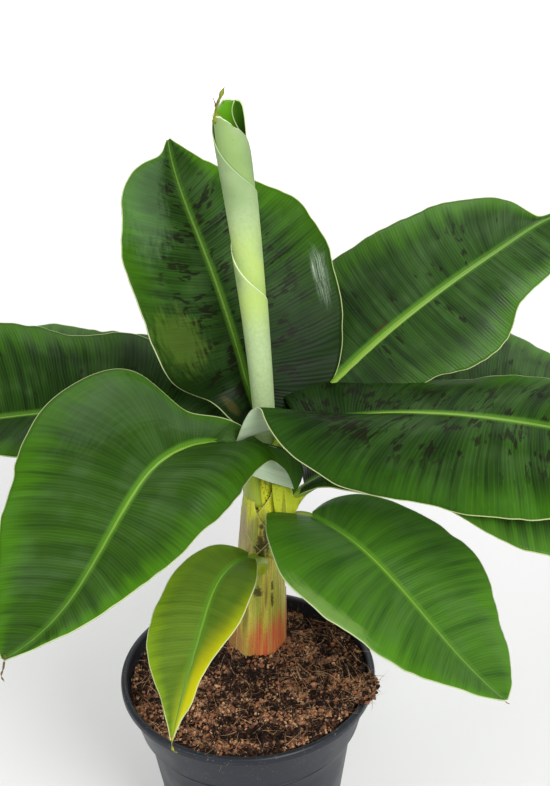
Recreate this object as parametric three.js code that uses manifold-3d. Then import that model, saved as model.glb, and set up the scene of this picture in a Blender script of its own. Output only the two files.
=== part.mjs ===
// Young banana plant in its nursery pot: a leaning trunk of rolled sheaths, ten stalked leaves
// and the next leaf still rolled up. Millimetres, +Z up, origin at the middle of the pot's underside,
// seen from -Y.
import * as THREE from 'three';
import { mergeVertices } from 'three/addons/utils/BufferGeometryUtils.js';
import Module from 'manifold-3d';

const wasm = await Module();
wasm.setup();

const gap = 0.3; // clearance between neighbouring pieces

const pot = {
  height: 150,
  baseRadius: 55, // foot of the wall
  bodyRadius: 70, // top of the wall, under the collar
  collarFoot: 75, // radius where the collar begins
  collarTop: 82, // radius under the lip
  rimRadius: 85, // outer edge of the rounded lip
  collarHeight: 35, // from the rim down to the step
  shoulder: 1.2, // rise of the step over its own width
  lipHeight: 6,
  lipEase: 0.8, // rise of the lip's underside
  lipRadius: 2.3, // round of the lip's top
  wall: 1.6,
  floor: 2.2,
  footChamfer: 2.5,
  ridgeDrop: 5, // ring ridge, this far under the step
  ridgeRadius: 1.2,
  holes: 8,
  holeRadius: 4,
  holeCircle: 38, // radius of the circle of drainage holes
  holeSides: 12,
  sides: 32,
};

const soil = {
  level: 139.5, // height beside the trunk and at the back wall
  heap: 7.5, // how much higher it lies at the front right
  heapToward: -50, // degrees, the side it is heaped towards
  heapSpan: [-0.5, 0.9], // where the heap begins and is full, in body radii towards that side
  lumps: [ // low waves that cross on its surface: height, length and the way they run
    { height: 0.9, length: 24, toward: 30 },
    { height: 0.7, length: 17, toward: 115 },
    { height: 0.5, length: 11, toward: 65 },
  ],
  mound: { toward: -17, radius: 78, height: 4, spread: 24 }, // heap against the rim
  rings: 7,
  clump: { toward: -17, radius: 82, height: 150, size: [8, 15, 3.4] }, // peat that lies over the rim
};

const trunk = {
  foot: [6, 34, 140],
  top: [16, 32, 300],
  radii: [20, 18.6, 17.8, 17, 16.2, 15, 13.4, 11, 8], // from the flared foot to the hidden fork
  sheathSwell: 1.3, // how far each leaf's sheath stands out of the trunk
  sheathHalfAngle: 62,
  sheathFoot: [90, 20], // the sheath comes out of the trunk between these depths below its leaf's node
  sheathMouth: [14, -6], // and ends between these
  sides: 20,
  rows: 18,
};

const spear = {
  foot: [18, 36, 300.4],
  top: [3.3, 42, 529],
  bow: 2.3, // how far its middle stands to the right of the straight line
  radii: [6.7, 8, 9.5, 11],
  seamStep: 0.1, // share of the radius by which the last turn overlaps
  turns: 0.8, // how far the seam winds round on its way up
  rimSlant: 5.5, // how far the open top rises and falls round its rim
  rimHigh: 135, // degrees, where the rim is highest
  slantFrom: 0.85, // share of its length where the slant begins
  cupDepth: 26,
  cupTaper: 1.5, // how much narrower the cup is at its bottom
  wall: 3,
  sides: 16,
  rows: 12,
};

const stalk = {
  footWidth: 7.5, // half widths and half depths at the trunk and at the blade
  bladeWidth: 4.6,
  footDepth: 4.4,
  bladeDepth: 3.8,
  inset: 5, // how deep its foot starts inside the trunk
  pull: 0.4, // how stiffly it holds its direction at both ends, as a share of its reach
  sides: 8,
  rows: 7,
};

const rib = { depth: 3.4, width: 0.11 }; // midrib under the blade, width as a share of the half blade

// Every list of angles or shares runs from the base of the blade to its tip, evenly spaced.
// rise and heading: which way the midrib points. outline: length of the veins as a share of the half
// width. sweep: how far the veins lean to the tip. lift, bend: how a vein rises at the midrib and how
// far it has turned down at the margin. curl: how far its outer part rolls up besides (down, below 0).
// L is the left half seen along the leaf, R the right one.
const shared = {
  outline: [0.6, 0.95, 1, 0.95, 0.75, 0.05],
  sweep: [-35, 0, 10, 15, 25, 45],
  curve: 18,
  lift: [20, 12, 5],
  bend: [20, 20, 20],
  curl: [0, 0, 0],
  curlFrom: 0.4, // share of a vein beyond which it rolls
  wave: { height: 0, count: 2, phase: 0 },
  waveShift: 0.25, // share of a wave by which the right margin's is ahead of the left one's
};

const leaves = {
  back: {
    node: 280, start: [11, 45, 329], length: 183, widthL: 68, widthR: 71,
    rise: [62, 58, 48, 32], heading: [119, 121, 120, 98], liftL: [21, 6, 18, 17, 16, 15, 14, 12, 11, 9, 8],
    liftR: [20, 15, 8], bendL: [-18, 29, 5, 5, 5, 5, 6, 7, 8, 9, 10], bendR: [5, 5, 10],
    outlineL: [0.31, 0.42, 0.9, 0.95, 0.98, 0.98, 0.83, 0.69, 0.47, 0.16, 0.02],
    outlineR: [0.41, 0.84, 1.02, 1.1, 1.1, 1.04, 0.82, 0.59, 0.38, 0.21, 0.04],
    sweepL: [-34, -21, -5, 2, 8, 12, 15, 21, 28, 38, 50], sweepR: [-20, -5, 8, 15, 28, 50],
  },
  backRight: {
    node: 276, start: [39, 50, 321], length: 250, widthL: 64, widthR: 66,
    rise: [35, 34, 27, 21, 14, -40], heading: [23, 24, 27, 28], liftL: [28, 26, 12], liftR: [-25, -25, -15],
    bendL: [12, 15, 25], bendR: [30, 25, 30],
    outlineL: [0.8, 1, 1.09, 1.06, 1.02, 0.97, 0.86, 0.72, 0.1, 0.1, 0.03],
    outlineR: [0.3, 0.45, 0.6, 0.66, 0.83, 0.81, 0.59, 0.53, 0.42, 0.28, 0.05],
    sweepL: [-30, -18, -5, -2, 0, 4, 10, 30, 40, 40, 40], sweepR: [-30, -5, 0, 8, 15, 30],
  },
  right: {
    node: 284, start: [41, 24, 328], length: 262, widthL: 58, widthR: 72,
    rise: [19, 7, -5, -18], heading: [-12, -20, -20, -18], liftL: [0, 5, 5, 5, 10, 25, 40, 45, 30, 20, 10],
    liftR: [24, 34, 24, 6, 4, -4, 0, 2, 4, 5, 5], bendL: [15, 15, 15, 15, 20, 50, 75, 75, 50, 30, 20],
    bendR: [30, 0, 50, 64, 70, 38, 33, 31, 29, 27, 25],
    outlineL: [0.64, 0.97, 0.9, 0.92, 0.82, 0.9, 1, 0.95, 0.8, 0.5, 0.05],
    outlineR: [0.63, 0.81, 0.92, 1, 0.97, 0.94, 0.87, 0.82, 0.68, 0.4, 0.05],
    sweepR: [-70, -62, -50, -38, -18, 6, 10, 14, 20, 32, 45],
    wave: { height: 6, count: 2, phase: 0.35 },
  },
  frontLeft: {
    node: 268, start: [-13, 11, 326], length: 198, widthL: 70, widthR: 74,
    rise: [18, -14, -34, -12], heading: [208, 241, 231, 208],
    liftL: [-2, -3, 0, 9, 5, 10, 11, 10, 10, 9, 8], liftR: [20, 54, 38, 36, 33, 30, 26, 22, 17, 13, 8],
    bendL: [-20, -17, 3, 21, 32, 30, 29, 27, 24, 22, 20],
    bendR: [-5, 14, 29, 31, 31, 30, 29, 27, 24, 22, 20],
    curlL: [-127, -71, -62, -59, -28, -5, 0, 0, 0, 0, 0],
    outlineL: [1.21, 0.9, 0.87, 0.9, 0.72, 0.62, 0.49, 0.35, 0.22, 0.11, 0.02],
    outlineR: [0.29, 0.32, 1.01, 1.03, 0.95, 0.9, 0.82, 0.71, 0.56, 0.32, 0.02],
    sweepL: [-71, -67, -45, -24, -10, 8, 12, 16, 22, 30, 40],
    sweepR: [-86, -28, -27, 7, 10, 12, 15, 19, 25, 34, 45],
  },
  left: {
    node: 272, start: [-26, 41, 315], length: 235, widthL: 54, widthR: 65,
    rise: [22, -5, -10, -18], heading: [167, 173, 176, 178], liftL: [5, 2, 12, 14, 14],
    liftR: [6, 30, 32, 33, 35, 38, 40, 42, 42, 41, 40], bendL: [20, 25, 30],
    bendR: [0, 20, 22, 23, 24, 25, 26, 27, 28, 29, 30],
    outlineL: [0.6, 0.8, 0.95, 0.95, 0.92, 0.85, 0.8, 0.75, 0.6, 0.35, 0.05],
    outlineR: [0.48, 0.76, 0.98, 0.97, 1.16, 1.25, 1.2, 1.05, 0.85, 0.45, 0.05],
    sweepR: [-55, -20, 0, 7, 10, 12, 15, 19, 25, 34, 45],
  },
  small: {
    node: 205, start: [4, -2, 245], length: 134, widthL: 25, widthR: 38,
    rise: [15, -22, -38, -45], heading: [222, 250, 248, 251], lift: [20, 15, 8], bend: [15, 15, 15],
    outlineL: [0.21, 0.69, 1.11, 1.11, 0.98, 0.75, 0.55, 0.4, 0.34, 0.14, 0.03],
    outlineR: [0.13, 0.54, 0.73, 0.82, 0.88, 0.87, 0.76, 0.57, 0.36, 0.18, 0.03],
    sweep: [-45, 0, 10, 15, 22, 35],
  },
  lowerRight: {
    node: 226, start: [46, 11, 266], length: 167, widthL: 48, widthR: 60,
    rise: [-3, -27, -38, -31], heading: [-37, -43, -38, -31], lift: [20, 15, 8], bend: [20, 20, 20],
    outlineL: [0.14, 0.7, 1, 1.2, 1.3, 1.27, 1.16, 1, 0.81, 0.49, 0.05],
    outlineR: [0.51, 0.83, 1.12, 1.11, 0.97, 0.86, 0.74, 0.56, 0.36, 0.2, 0.02],
    sweepL: [-45, 0, 10, 12, 20, 40], sweepR: [-50, -14, 5, 10, 15, 35],
  },
  rightUnder: {
    node: 240, start: [41, 19, 286], length: 240, widthL: 44, widthR: 54,
    rise: [44, 12, -14, -34], heading: [-30, -22, -18, -16], lift: [0, 0, 0], bend: [35, 35, 35],
    outlineR: [0.15, 0.24, 0.47, 0.57, 0.67, 0.89, 1, 0.93, 0.78, 0.45, 0.05],
  },
  rightBehind: {
    node: 262, start: [50, 43, 305], length: 205, widthL: 62, widthR: 42,
    rise: [22, 8, -10, -36], heading: [12, 12, 10, 8], liftL: [15, 15, 10], liftR: [-15, -10, -5],
    bend: [20, 20, 25], outlineL: [0.6, 0.95, 1.1, 1.15, 1.2, 1.2, 1.15, 0.93, 0.72, 0.32, 0.05],
    outlineR: [0.6, 0.95, 1, 0.88, 0.6, 0.05],
  },
  backLeft: {
    node: 266, start: [-20, 55, 312], length: 200, widthL: 55, widthR: 55,
    rise: [20, 0, -6, -20], heading: [148, 148, 148, 150], liftL: [-5, -5, -5], liftR: [25, 20, 15],
    bend: [15, 20, 25], outlineR: [0.6, 0.7, 0.72, 0.9, 0.92, 0.86, 0.86, 0.86, 0.8, 0.5, 0.05],
  },
};

const bladeGrid = { rows: 18, columns: 5, thicknessShare: 0.0115 }; // columns on each half

const colours = {
  pot: 0x2c3137,
  soil: 0x4b3427,
  trunk: 0xa6a650,
  spear: 0xa8c08a,
  stalk: 0x8fb84a,
  blade: 0x3c7a2c,
  youngBlade: 0x6f9a35,
};

const radians = THREE.MathUtils.degToRad;

// Smooth curve through evenly spaced keys, read at a share from 0 to 1.
function along(keys, share) {
  const last = keys.length - 1;
  const place = THREE.MathUtils.clamp(share, 0, 1) * last;
  const i = Math.min(Math.floor(place), last - 1);
  const f = place - i;
  const before = i > 0 ? keys[i - 1] : 2 * keys[0] - keys[1];
  const after = i + 2 <= last ? keys[i + 2] : 2 * keys[last] - keys[last - 1];
  const [b, c] = [keys[i], keys[i + 1]];
  const square = 2 * before - 5 * b + 4 * c - after;
  const cube = 3 * b - 3 * c + after - before;
  return 0.5 * (2 * b + (c - before) * f + square * f ** 2 + cube * f ** 3);
}

// Directions at one place of a leaf: forward, to its right, and up out of its face.
function frameAt(rise, heading) {
  const [e, a] = [radians(rise), radians(heading)];
  return {
    forward: new THREE.Vector3(Math.cos(e) * Math.cos(a), Math.cos(e) * Math.sin(a), Math.sin(e)),
    side: new THREE.Vector3(Math.sin(a), -Math.cos(a), 0),
    up: new THREE.Vector3(-Math.sin(e) * Math.cos(a), -Math.sin(e) * Math.sin(a), Math.cos(e)),
  };
}

// A closed mesh from points and triangles, turned so that its faces point out.
function closedGeometry(points, triangles) {
  let volume = 0;
  const cross = new THREE.Vector3();
  for (const [a, b, c] of triangles) {
    volume += points[a].dot(cross.crossVectors(points[b], points[c]));
  }
  const outward = volume > 0 ? triangles : triangles.map(([a, b, c]) => [a, c, b]);
  const geometry = new THREE.BufferGeometry();
  geometry.setAttribute('position', new THREE.Float32BufferAttribute(points.flatMap((p) => p.toArray()), 3));
  geometry.setIndex(outward.flat());
  return geometry;
}

// A closed tube through rings of points, each ring with the same count, with a fan over each end.
function tubeGeometry(rings) {
  const count = rings[0].length;
  const points = rings.flat();
  const triangles = [];
  for (let k = 0; k < rings.length - 1; k++) {
    for (let j = 0; j < count; j++) {
      const [a, b] = [k * count + j, k * count + ((j + 1) % count)];
      triangles.push([a, b, b + count], [a, b + count, a + count]);
    }
  }
  for (const first of [true, false]) {
    const ring = first ? rings[0] : rings[rings.length - 1];
    const start = first ? 0 : (rings.length - 1) * count;
    const middle = new THREE.Vector3();
    ring.forEach((p) => middle.addScaledVector(p, 1 / count));
    const centre = points.push(middle) - 1;
    for (let j = 0; j < count; j++) {
      const [a, b] = [start + j, start + ((j + 1) % count)];
      triangles.push(first ? [centre, b, a] : [centre, a, b]);
    }
  }
  return closedGeometry(points, triangles);
}

function solidOf(geometry) {
  const bare = geometry.clone();
  bare.deleteAttribute('normal');
  bare.deleteAttribute('uv');
  const merged = mergeVertices(bare);
  return new wasm.Manifold(new wasm.Mesh({
    numProp: 3,
    vertProperties: merged.attributes.position.array,
    triVerts: new Uint32Array(merged.index.array),
  }));
}

// What is left of a solid once its grown neighbours are cut away: the largest body.
function cutClear(solid, neighbours) {
  let rest = solid;
  for (const other of neighbours) rest = rest.subtract(other);
  return rest.decompose().sort((a, b) => b.volume() - a.volume())[0];
}

const plant = new THREE.Group();

function addPiece(name, solid, colour, roughness) {
  const { vertProperties, triVerts } = solid.getMesh();
  const geometry = new THREE.BufferGeometry();
  geometry.setAttribute('position', new THREE.Float32BufferAttribute(vertProperties, 3));
  geometry.setIndex(new THREE.Uint32BufferAttribute(triVerts, 1));
  geometry.computeVertexNormals();
  const material = new THREE.MeshStandardMaterial({ color: colour, roughness, metalness: 0 });
  const mesh = new THREE.Mesh(geometry, material);
  mesh.name = name;
  plant.add(mesh);
}

// Radius of the collar's outside at a height between the step and the lip.
function collarRadius(z) {
  const step = pot.height - pot.collarHeight;
  const rise = pot.height - pot.lipHeight - step;
  return pot.collarFoot + ((pot.collarTop - pot.collarFoot) * (z - step)) / rise;
}

// A lathe turned about +Z from [radius, height] pairs.
function turned(profile) {
  const points = profile.map(([r, z]) => new THREE.Vector2(r, z));
  return new THREE.LatheGeometry(points, pot.sides).rotateX(Math.PI / 2);
}

// [radius, height] pairs round an arc of a profile, from one angle to another in degrees.
function arc(centre, radius, from, to, steps) {
  const pairs = [];
  for (let k = 0; k <= steps; k++) {
    const turn = radians(from + ((to - from) * k) / steps);
    pairs.push([centre[0] + radius * Math.cos(turn), centre[1] + radius * Math.sin(turn)]);
  }
  return pairs;
}

// Outline of the pot's inside, from the floor up to the lip, kept a clearance away from the wall.
function innerWall(clearance) {
  const step = pot.height - pot.collarHeight;
  const inset = pot.wall + clearance;
  return [
    [pot.baseRadius - inset, pot.floor + clearance],
    [pot.bodyRadius - inset, step - pot.shoulder],
    [pot.collarFoot - inset, step + 2 * pot.shoulder],
  ];
}

function potSolid(grow) {
  const step = pot.height - pot.collarHeight;
  const under = pot.height - pot.lipHeight;
  const lipCentre = [pot.rimRadius - pot.lipRadius, pot.height - pot.lipRadius];
  const body = turned([
    [0, -grow],
    [pot.baseRadius - pot.footChamfer, -grow],
    [pot.baseRadius, pot.footChamfer],
    ...arc([pot.bodyRadius, step - pot.ridgeDrop], pot.ridgeRadius, -90, 90, 4),
    [pot.bodyRadius, step],
    [pot.collarFoot, step + pot.shoulder],
    [pot.collarTop, under],
    [pot.rimRadius, under + pot.lipEase],
    ...arc(lipCentre, pot.lipRadius + grow, 0, 180, 6),
    [pot.collarTop - pot.wall - grow, under],
    ...innerWall(grow).reverse(),
    [0, pot.floor + grow],
  ]);
  if (grow > 0) return solidOf(body);
  const holes = [];
  for (let k = 0; k < pot.holes; k++) {
    const angle = (2 * Math.PI * (k + 0.5)) / pot.holes;
    const hole = new THREE.CylinderGeometry(pot.holeRadius, pot.holeRadius, 3 * pot.floor, pot.holeSides);
    hole.rotateX(Math.PI / 2);
    hole.translate(pot.holeCircle * Math.cos(angle), pot.holeCircle * Math.sin(angle), pot.floor / 2);
    holes.push(solidOf(hole));
  }
  return cutClear(solidOf(body), holes);
}

// Height of the peat: heaped towards the front right and against the rim, with low lumps all over.
function soilHeight(x, y) {
  const alongWay = (degrees) => x * Math.cos(radians(degrees)) + y * Math.sin(radians(degrees));
  const slope = alongWay(soil.heapToward) / pot.bodyRadius;
  let height = soil.level + soil.heap * THREE.MathUtils.smoothstep(slope, ...soil.heapSpan);
  for (const lump of soil.lumps) {
    height += lump.height * Math.sin((2 * Math.PI * alongWay(lump.toward)) / lump.length);
  }
  const moundTurn = radians(soil.mound.toward);
  const [mx, my] = [soil.mound.radius * Math.cos(moundTurn), soil.mound.radius * Math.sin(moundTurn)];
  return height + soil.mound.height * Math.exp(-(((x - mx) ** 2 + (y - my) ** 2) / soil.mound.spread ** 2));
}

// Peat fills the pot from its floor, and a clump of it hangs over the rim.
function soilSolid(neighbours) {
  const ringAt = (radius, height) => {
    const ring = [];
    for (let j = 0; j < pot.sides; j++) {
      const angle = (2 * Math.PI * j) / pot.sides;
      const [x, y] = [radius * Math.cos(angle), radius * Math.sin(angle)];
      ring.push(new THREE.Vector3(x, y, height ?? soilHeight(x, y)));
    }
    return ring;
  };
  const edge = collarRadius(soil.level) - pot.wall - 2 * gap;
  const rings = innerWall(2 * gap).map(([r, z]) => ringAt(r, z));
  for (let k = 0; k < soil.rings; k++) rings.push(ringAt(edge * (1 - k / soil.rings)));
  const clump = new THREE.IcosahedronGeometry(1, 1);
  clump.scale(...soil.clump.size);
  clump.translate(soil.clump.radius, 0, soil.clump.height);
  clump.rotateZ(radians(soil.clump.toward));
  return cutClear(solidOf(tubeGeometry(rings)).add(solidOf(clump)), neighbours);
}

// Middle of the trunk at a height.
function trunkAxis(z) {
  const share = (z - trunk.foot[2]) / (trunk.top[2] - trunk.foot[2]);
  const [a, b] = [new THREE.Vector3(...trunk.foot), new THREE.Vector3(...trunk.top)];
  return a.lerp(b, share).setZ(z);
}

// Which way a leaf leaves the trunk, in radians.
function leafAngle(leaf) {
  const axis = trunkAxis(leaf.node);
  return Math.atan2(leaf.start[1] - axis.y, leaf.start[0] - axis.x);
}

// Outside of the trunk: its taper, and each leaf's sheath standing out below that leaf's node.
function trunkRadius(angle, z) {
  const share = (z - trunk.foot[2]) / (trunk.top[2] - trunk.foot[2]);
  const [footLow, footHigh] = trunk.sheathFoot;
  const [mouthLow, mouthHigh] = trunk.sheathMouth;
  let radius = along(trunk.radii, share);
  for (const leaf of Object.values(leaves)) {
    const turn = Math.cos(angle - leafAngle(leaf));
    const near = THREE.MathUtils.smoothstep(turn, Math.cos(radians(trunk.sheathHalfAngle)), 1);
    const out = THREE.MathUtils.smoothstep(z, leaf.node - footLow, leaf.node - footHigh);
    const over = THREE.MathUtils.smoothstep(z, leaf.node - mouthLow, leaf.node - mouthHigh);
    radius += trunk.sheathSwell * near * out * (1 - over);
  }
  return radius;
}

function trunkSolid(grow) {
  const rings = [];
  for (let k = 0; k <= trunk.rows; k++) {
    const share = k / trunk.rows;
    const z = trunk.foot[2] + share * (trunk.top[2] - trunk.foot[2]);
    const axis = trunkAxis(z);
    const edge = k === 0 ? -grow : k === trunk.rows ? grow : 0;
    const ring = [];
    for (let j = 0; j < trunk.sides; j++) {
      const angle = (2 * Math.PI * j) / trunk.sides;
      const r = trunkRadius(angle, z) + grow;
      ring.push(new THREE.Vector3(axis.x + r * Math.cos(angle), axis.y + r * Math.sin(angle), z + edge));
    }
    rings.push(ring);
  }
  return solidOf(tubeGeometry(rings));
}

// The rolled leaf: a tube whose outer turn ends in a seam that winds up round it, open at the top.
function spearSolid(grow) {
  const [foot, top] = [new THREE.Vector3(...spear.foot), new THREE.Vector3(...spear.top)];
  const ringAt = (share, inset, lower) => {
    const ring = [];
    for (let j = 0; j < spear.sides; j++) {
      const angle = (2 * Math.PI * j) / spear.sides;
      const turn = (((angle / (2 * Math.PI) - spear.turns * share) % 1) + 1) % 1;
      const r = along(spear.radii, share) * (1 + spear.seamStep * (turn - 0.5)) - inset + grow;
      const slant = Math.max(0, share - spear.slantFrom) / (1 - spear.slantFrom);
      const rise = spear.rimSlant * slant * Math.cos(angle - radians(spear.rimHigh));
      const middle = foot.clone().lerp(top, share);
      middle.x += 4 * spear.bow * share * (1 - share);
      ring.push(middle.add(new THREE.Vector3(r * Math.cos(angle), r * Math.sin(angle), rise - lower)));
    }
    return ring;
  };
  const rings = [];
  for (let k = 0; k <= spear.rows; k++) rings.push(ringAt(k / spear.rows, 0, k === 0 ? grow : 0));
  if (grow === 0) {
    rings.push(ringAt(1, spear.wall, spear.wall / 3));
    rings.push(ringAt(1, spear.wall + spear.cupTaper, spear.cupDepth));
  }
  return solidOf(tubeGeometry(rings));
}

// The leaf's numbers with the shared ones filled in, for its left (L) or right (R) half.
function halfOf(leaf, half) {
  const pick = (name) => leaf[name + half] ?? leaf[name] ?? shared[name];
  return {
    width: leaf['width' + half],
    outline: pick('outline'),
    sweep: pick('sweep'),
    lift: pick('lift'),
    bend: pick('bend'),
    curl: pick('curl'),
    wave: pick('wave'),
    sign: half === 'L' ? -1 : 1,
  };
}

// Points of the midrib and the directions there, walked from the start of the blade.
function midrib(leaf, grow) {
  const points = [];
  const place = new THREE.Vector3(...leaf.start);
  const step = (leaf.length + grow) / bladeGrid.rows;
  for (let k = 0; k <= bladeGrid.rows; k++) {
    const share = k / bladeGrid.rows;
    const frame = frameAt(along(leaf.rise, share), along(leaf.heading, share));
    if (k > 0) {
      const middle = frame.forward.clone().add(points[k - 1].frame.forward).multiplyScalar(step / 2);
      place.add(middle);
    } else {
      place.addScaledVector(frame.forward, gap - grow);
    }
    points.push({ share, place: place.clone(), frame });
  }
  return points;
}

// One vein: it leaves the midrib at its sweep, curves towards the tip, rises and then turns down.
function vein(leaf, half, at, grow) {
  const { forward, side, up } = at.frame;
  const length = half.width * along(half.outline, at.share) + grow;
  const sweep = along(half.sweep, at.share);
  const lift = along(half.lift, at.share);
  const bend = along(half.bend, at.share);
  const curl = along(half.curl, at.share);
  const direction = (t) => {
    const phi = radians(sweep + shared.curve * t * (1 - Math.abs(sweep) / 90));
    const theta = radians(lift - bend * t + curl * THREE.MathUtils.smoothstep(t, shared.curlFrom, 1));
    return side.clone().multiplyScalar(half.sign * Math.cos(theta) * Math.cos(phi))
      .addScaledVector(forward, Math.cos(theta) * Math.sin(phi))
      .addScaledVector(up, Math.sin(theta));
  };
  const wavePhase = half.wave.phase + (half.sign > 0 ? shared.waveShift : 0);
  const wave = half.wave.height * Math.sin(2 * Math.PI * (half.wave.count * at.share + wavePhase))
    * Math.sqrt(Math.sin(Math.PI * at.share));
  const points = [at.place.clone()];
  const place = at.place.clone();
  for (let j = 1; j < bladeGrid.columns; j++) {
    const [t0, t1] = [(j - 1) / (bladeGrid.columns - 1), j / (bladeGrid.columns - 1)];
    const middle = direction(t0).add(direction(t1)).multiplyScalar((length * (t1 - t0)) / 2);
    place.add(middle);
    points.push(place.clone().addScaledVector(up, wave * t1 ** 2));
  }
  return points;
}

// A blade: the veins of both halves as one grid, given a thickness, with the midrib as a keel below.
function bladeSolid(leaf, grow) {
  const [left, right] = [halfOf(leaf, 'L'), halfOf(leaf, 'R')];
  const grid = midrib(leaf, grow).map((at) => {
    const leftVein = vein(leaf, left, at, grow).slice(1).reverse();
    return [...leftVein, ...vein(leaf, right, at, grow)];
  });
  const [rows, columns] = [grid.length, grid[0].length];
  const top = [];
  const bottom = [];
  for (let i = 0; i < rows; i++) {
    for (let j = 0; j < columns; j++) {
      const ahead = grid[Math.min(i + 1, rows - 1)][j].clone().sub(grid[Math.max(i - 1, 0)][j]);
      const across = grid[i][Math.min(j + 1, columns - 1)].clone().sub(grid[i][Math.max(j - 1, 0)]);
      const normal = across.cross(ahead).normalize();
      const fromRib = Math.abs(j - (bladeGrid.columns - 1)) / (bladeGrid.columns - 1);
      const keel = rib.depth * (1 - i / rows) * Math.max(0, 1 - fromRib / rib.width);
      const thickness = bladeGrid.thicknessShare * leaf.length + keel;
      top.push(grid[i][j].clone().addScaledVector(normal, grow));
      bottom.push(grid[i][j].clone().addScaledVector(normal, -thickness - grow));
    }
  }
  const triangles = [];
  const count = top.length;
  for (let i = 0; i < rows - 1; i++) {
    for (let j = 0; j < columns - 1; j++) {
      const [a, b] = [i * columns + j, (i + 1) * columns + j];
      triangles.push([a, a + 1, b + 1], [a, b + 1, b]);
      triangles.push([count + a, count + b + 1, count + a + 1], [count + a, count + b, count + b + 1]);
    }
  }
  const border = [];
  for (let j = 0; j < columns - 1; j++) border.push(j);
  for (let i = 0; i < rows - 1; i++) border.push(i * columns + columns - 1);
  for (let j = columns - 1; j > 0; j--) border.push((rows - 1) * columns + j);
  for (let i = rows - 1; i > 0; i--) border.push(i * columns);
  border.forEach((a, k) => {
    const b = border[(k + 1) % border.length];
    triangles.push([b, a, count + a], [b, count + a, count + b]);
  });
  return solidOf(closedGeometry([...top, ...bottom], triangles));
}

// A stalk: it leaves the trunk upright and bends out to meet the midrib in line.
function stalkSolid(leaf, grow) {
  const angle = leafAngle(leaf);
  const reach = trunkRadius(angle, leaf.node) - stalk.inset;
  const foot = trunkAxis(leaf.node).add(new THREE.Vector3(reach * Math.cos(angle), reach * Math.sin(angle), 0));
  const end = new THREE.Vector3(...leaf.start);
  const blade = frameAt(leaf.rise[0], leaf.heading[0]);
  const pull = stalk.pull * foot.distanceTo(end);
  const path = new THREE.CubicBezierCurve3(
    foot,
    foot.clone().add(new THREE.Vector3(0, 0, pull)),
    end.clone().addScaledVector(blade.forward, -pull),
    end.clone().addScaledVector(blade.forward, grow),
  );
  const footSide = new THREE.Vector3(Math.sin(angle), -Math.cos(angle), 0);
  const rings = [];
  for (let k = 0; k <= stalk.rows; k++) {
    const share = k / stalk.rows;
    const place = path.getPoint(share);
    const forward = path.getTangent(share);
    const side = footSide.clone().lerp(blade.side, share);
    side.addScaledVector(forward, -side.dot(forward)).normalize();
    const up = side.clone().cross(forward);
    const width = THREE.MathUtils.lerp(stalk.footWidth, stalk.bladeWidth, Math.sqrt(share)) + grow;
    const depth = THREE.MathUtils.lerp(stalk.footDepth, stalk.bladeDepth, share) + grow;
    const ring = [];
    for (let j = 0; j < stalk.sides; j++) {
      const turn = (2 * Math.PI * j) / stalk.sides;
      ring.push(place.clone()
        .addScaledVector(side, width * Math.cos(turn))
        .addScaledVector(up, depth * Math.sin(turn)));
    }
    rings.push(ring);
  }
  return solidOf(tubeGeometry(rings));
}

addPiece('pot', potSolid(0), colours.pot, 0.45);
addPiece('soil', soilSolid([potSolid(gap), trunkSolid(gap)]), colours.soil, 1);
addPiece('trunk', trunkSolid(0), colours.trunk, 0.55);
addPiece('rolled_leaf', cutClear(spearSolid(0), [trunkSolid(gap)]), colours.spear, 0.6);

// Stalks first, then blades, each cut clear of everything placed before it.
const taken = [trunkSolid(gap), spearSolid(gap)];
for (const [name, leaf] of Object.entries(leaves)) {
  addPiece(`stalk_${name}`, cutClear(stalkSolid(leaf, 0), taken), colours.stalk, 0.55);
  taken.push(stalkSolid(leaf, gap));
}
for (const [name, leaf] of Object.entries(leaves)) {
  const colour = name === 'small' ? colours.youngBlade : colours.blade;
  addPiece(`blade_${name}`, cutClear(bladeSolid(leaf, 0), taken), colour, 0.5);
  taken.push(bladeSolid(leaf, gap));
}

export default plant;
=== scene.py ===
# Young banana plant in a round nursery pot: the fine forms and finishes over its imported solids.
# Metres, +Z up, seen from -Y. Every leaf is worked out by the same rule as its solid.
import bpy
import numpy as np
from mathutils import Matrix, Vector


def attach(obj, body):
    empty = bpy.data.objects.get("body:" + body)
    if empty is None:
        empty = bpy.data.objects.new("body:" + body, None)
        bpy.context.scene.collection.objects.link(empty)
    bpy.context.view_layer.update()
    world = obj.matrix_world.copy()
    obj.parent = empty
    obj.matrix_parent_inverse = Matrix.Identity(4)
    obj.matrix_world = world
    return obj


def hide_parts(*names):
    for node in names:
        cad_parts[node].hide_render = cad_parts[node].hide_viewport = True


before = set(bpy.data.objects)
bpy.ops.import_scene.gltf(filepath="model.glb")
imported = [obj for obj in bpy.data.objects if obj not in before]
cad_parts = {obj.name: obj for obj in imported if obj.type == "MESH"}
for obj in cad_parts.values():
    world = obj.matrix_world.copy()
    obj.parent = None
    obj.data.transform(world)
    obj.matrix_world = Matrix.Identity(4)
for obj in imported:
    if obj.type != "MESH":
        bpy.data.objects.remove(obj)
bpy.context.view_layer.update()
scene = bpy.context.scene
print("solids loaded:", len(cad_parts))

gap = 0.0003  # clearance between neighbouring solids


# Numbers and noise

# Smooth curve through evenly spaced keys, read at shares from 0 to 1 (Catmull-Rom).
def along(keys, share):
    keys = np.asarray(keys, float)
    last = len(keys) - 1
    place = np.clip(share, 0, 1) * last
    i = np.minimum(np.floor(place).astype(int), last - 1)
    f = place - i
    run = np.concatenate([[2 * keys[0] - keys[1]], keys, [2 * keys[-1] - keys[-2]]])
    a, b, c, d = run[i], run[i + 1], run[i + 2], run[i + 3]
    square = 2 * a - 5 * b + 4 * c - d
    cube = 3 * b - 3 * c + d - a
    return 0.5 * (2 * b + (c - a) * f + square * f**2 + cube * f**3)


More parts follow.
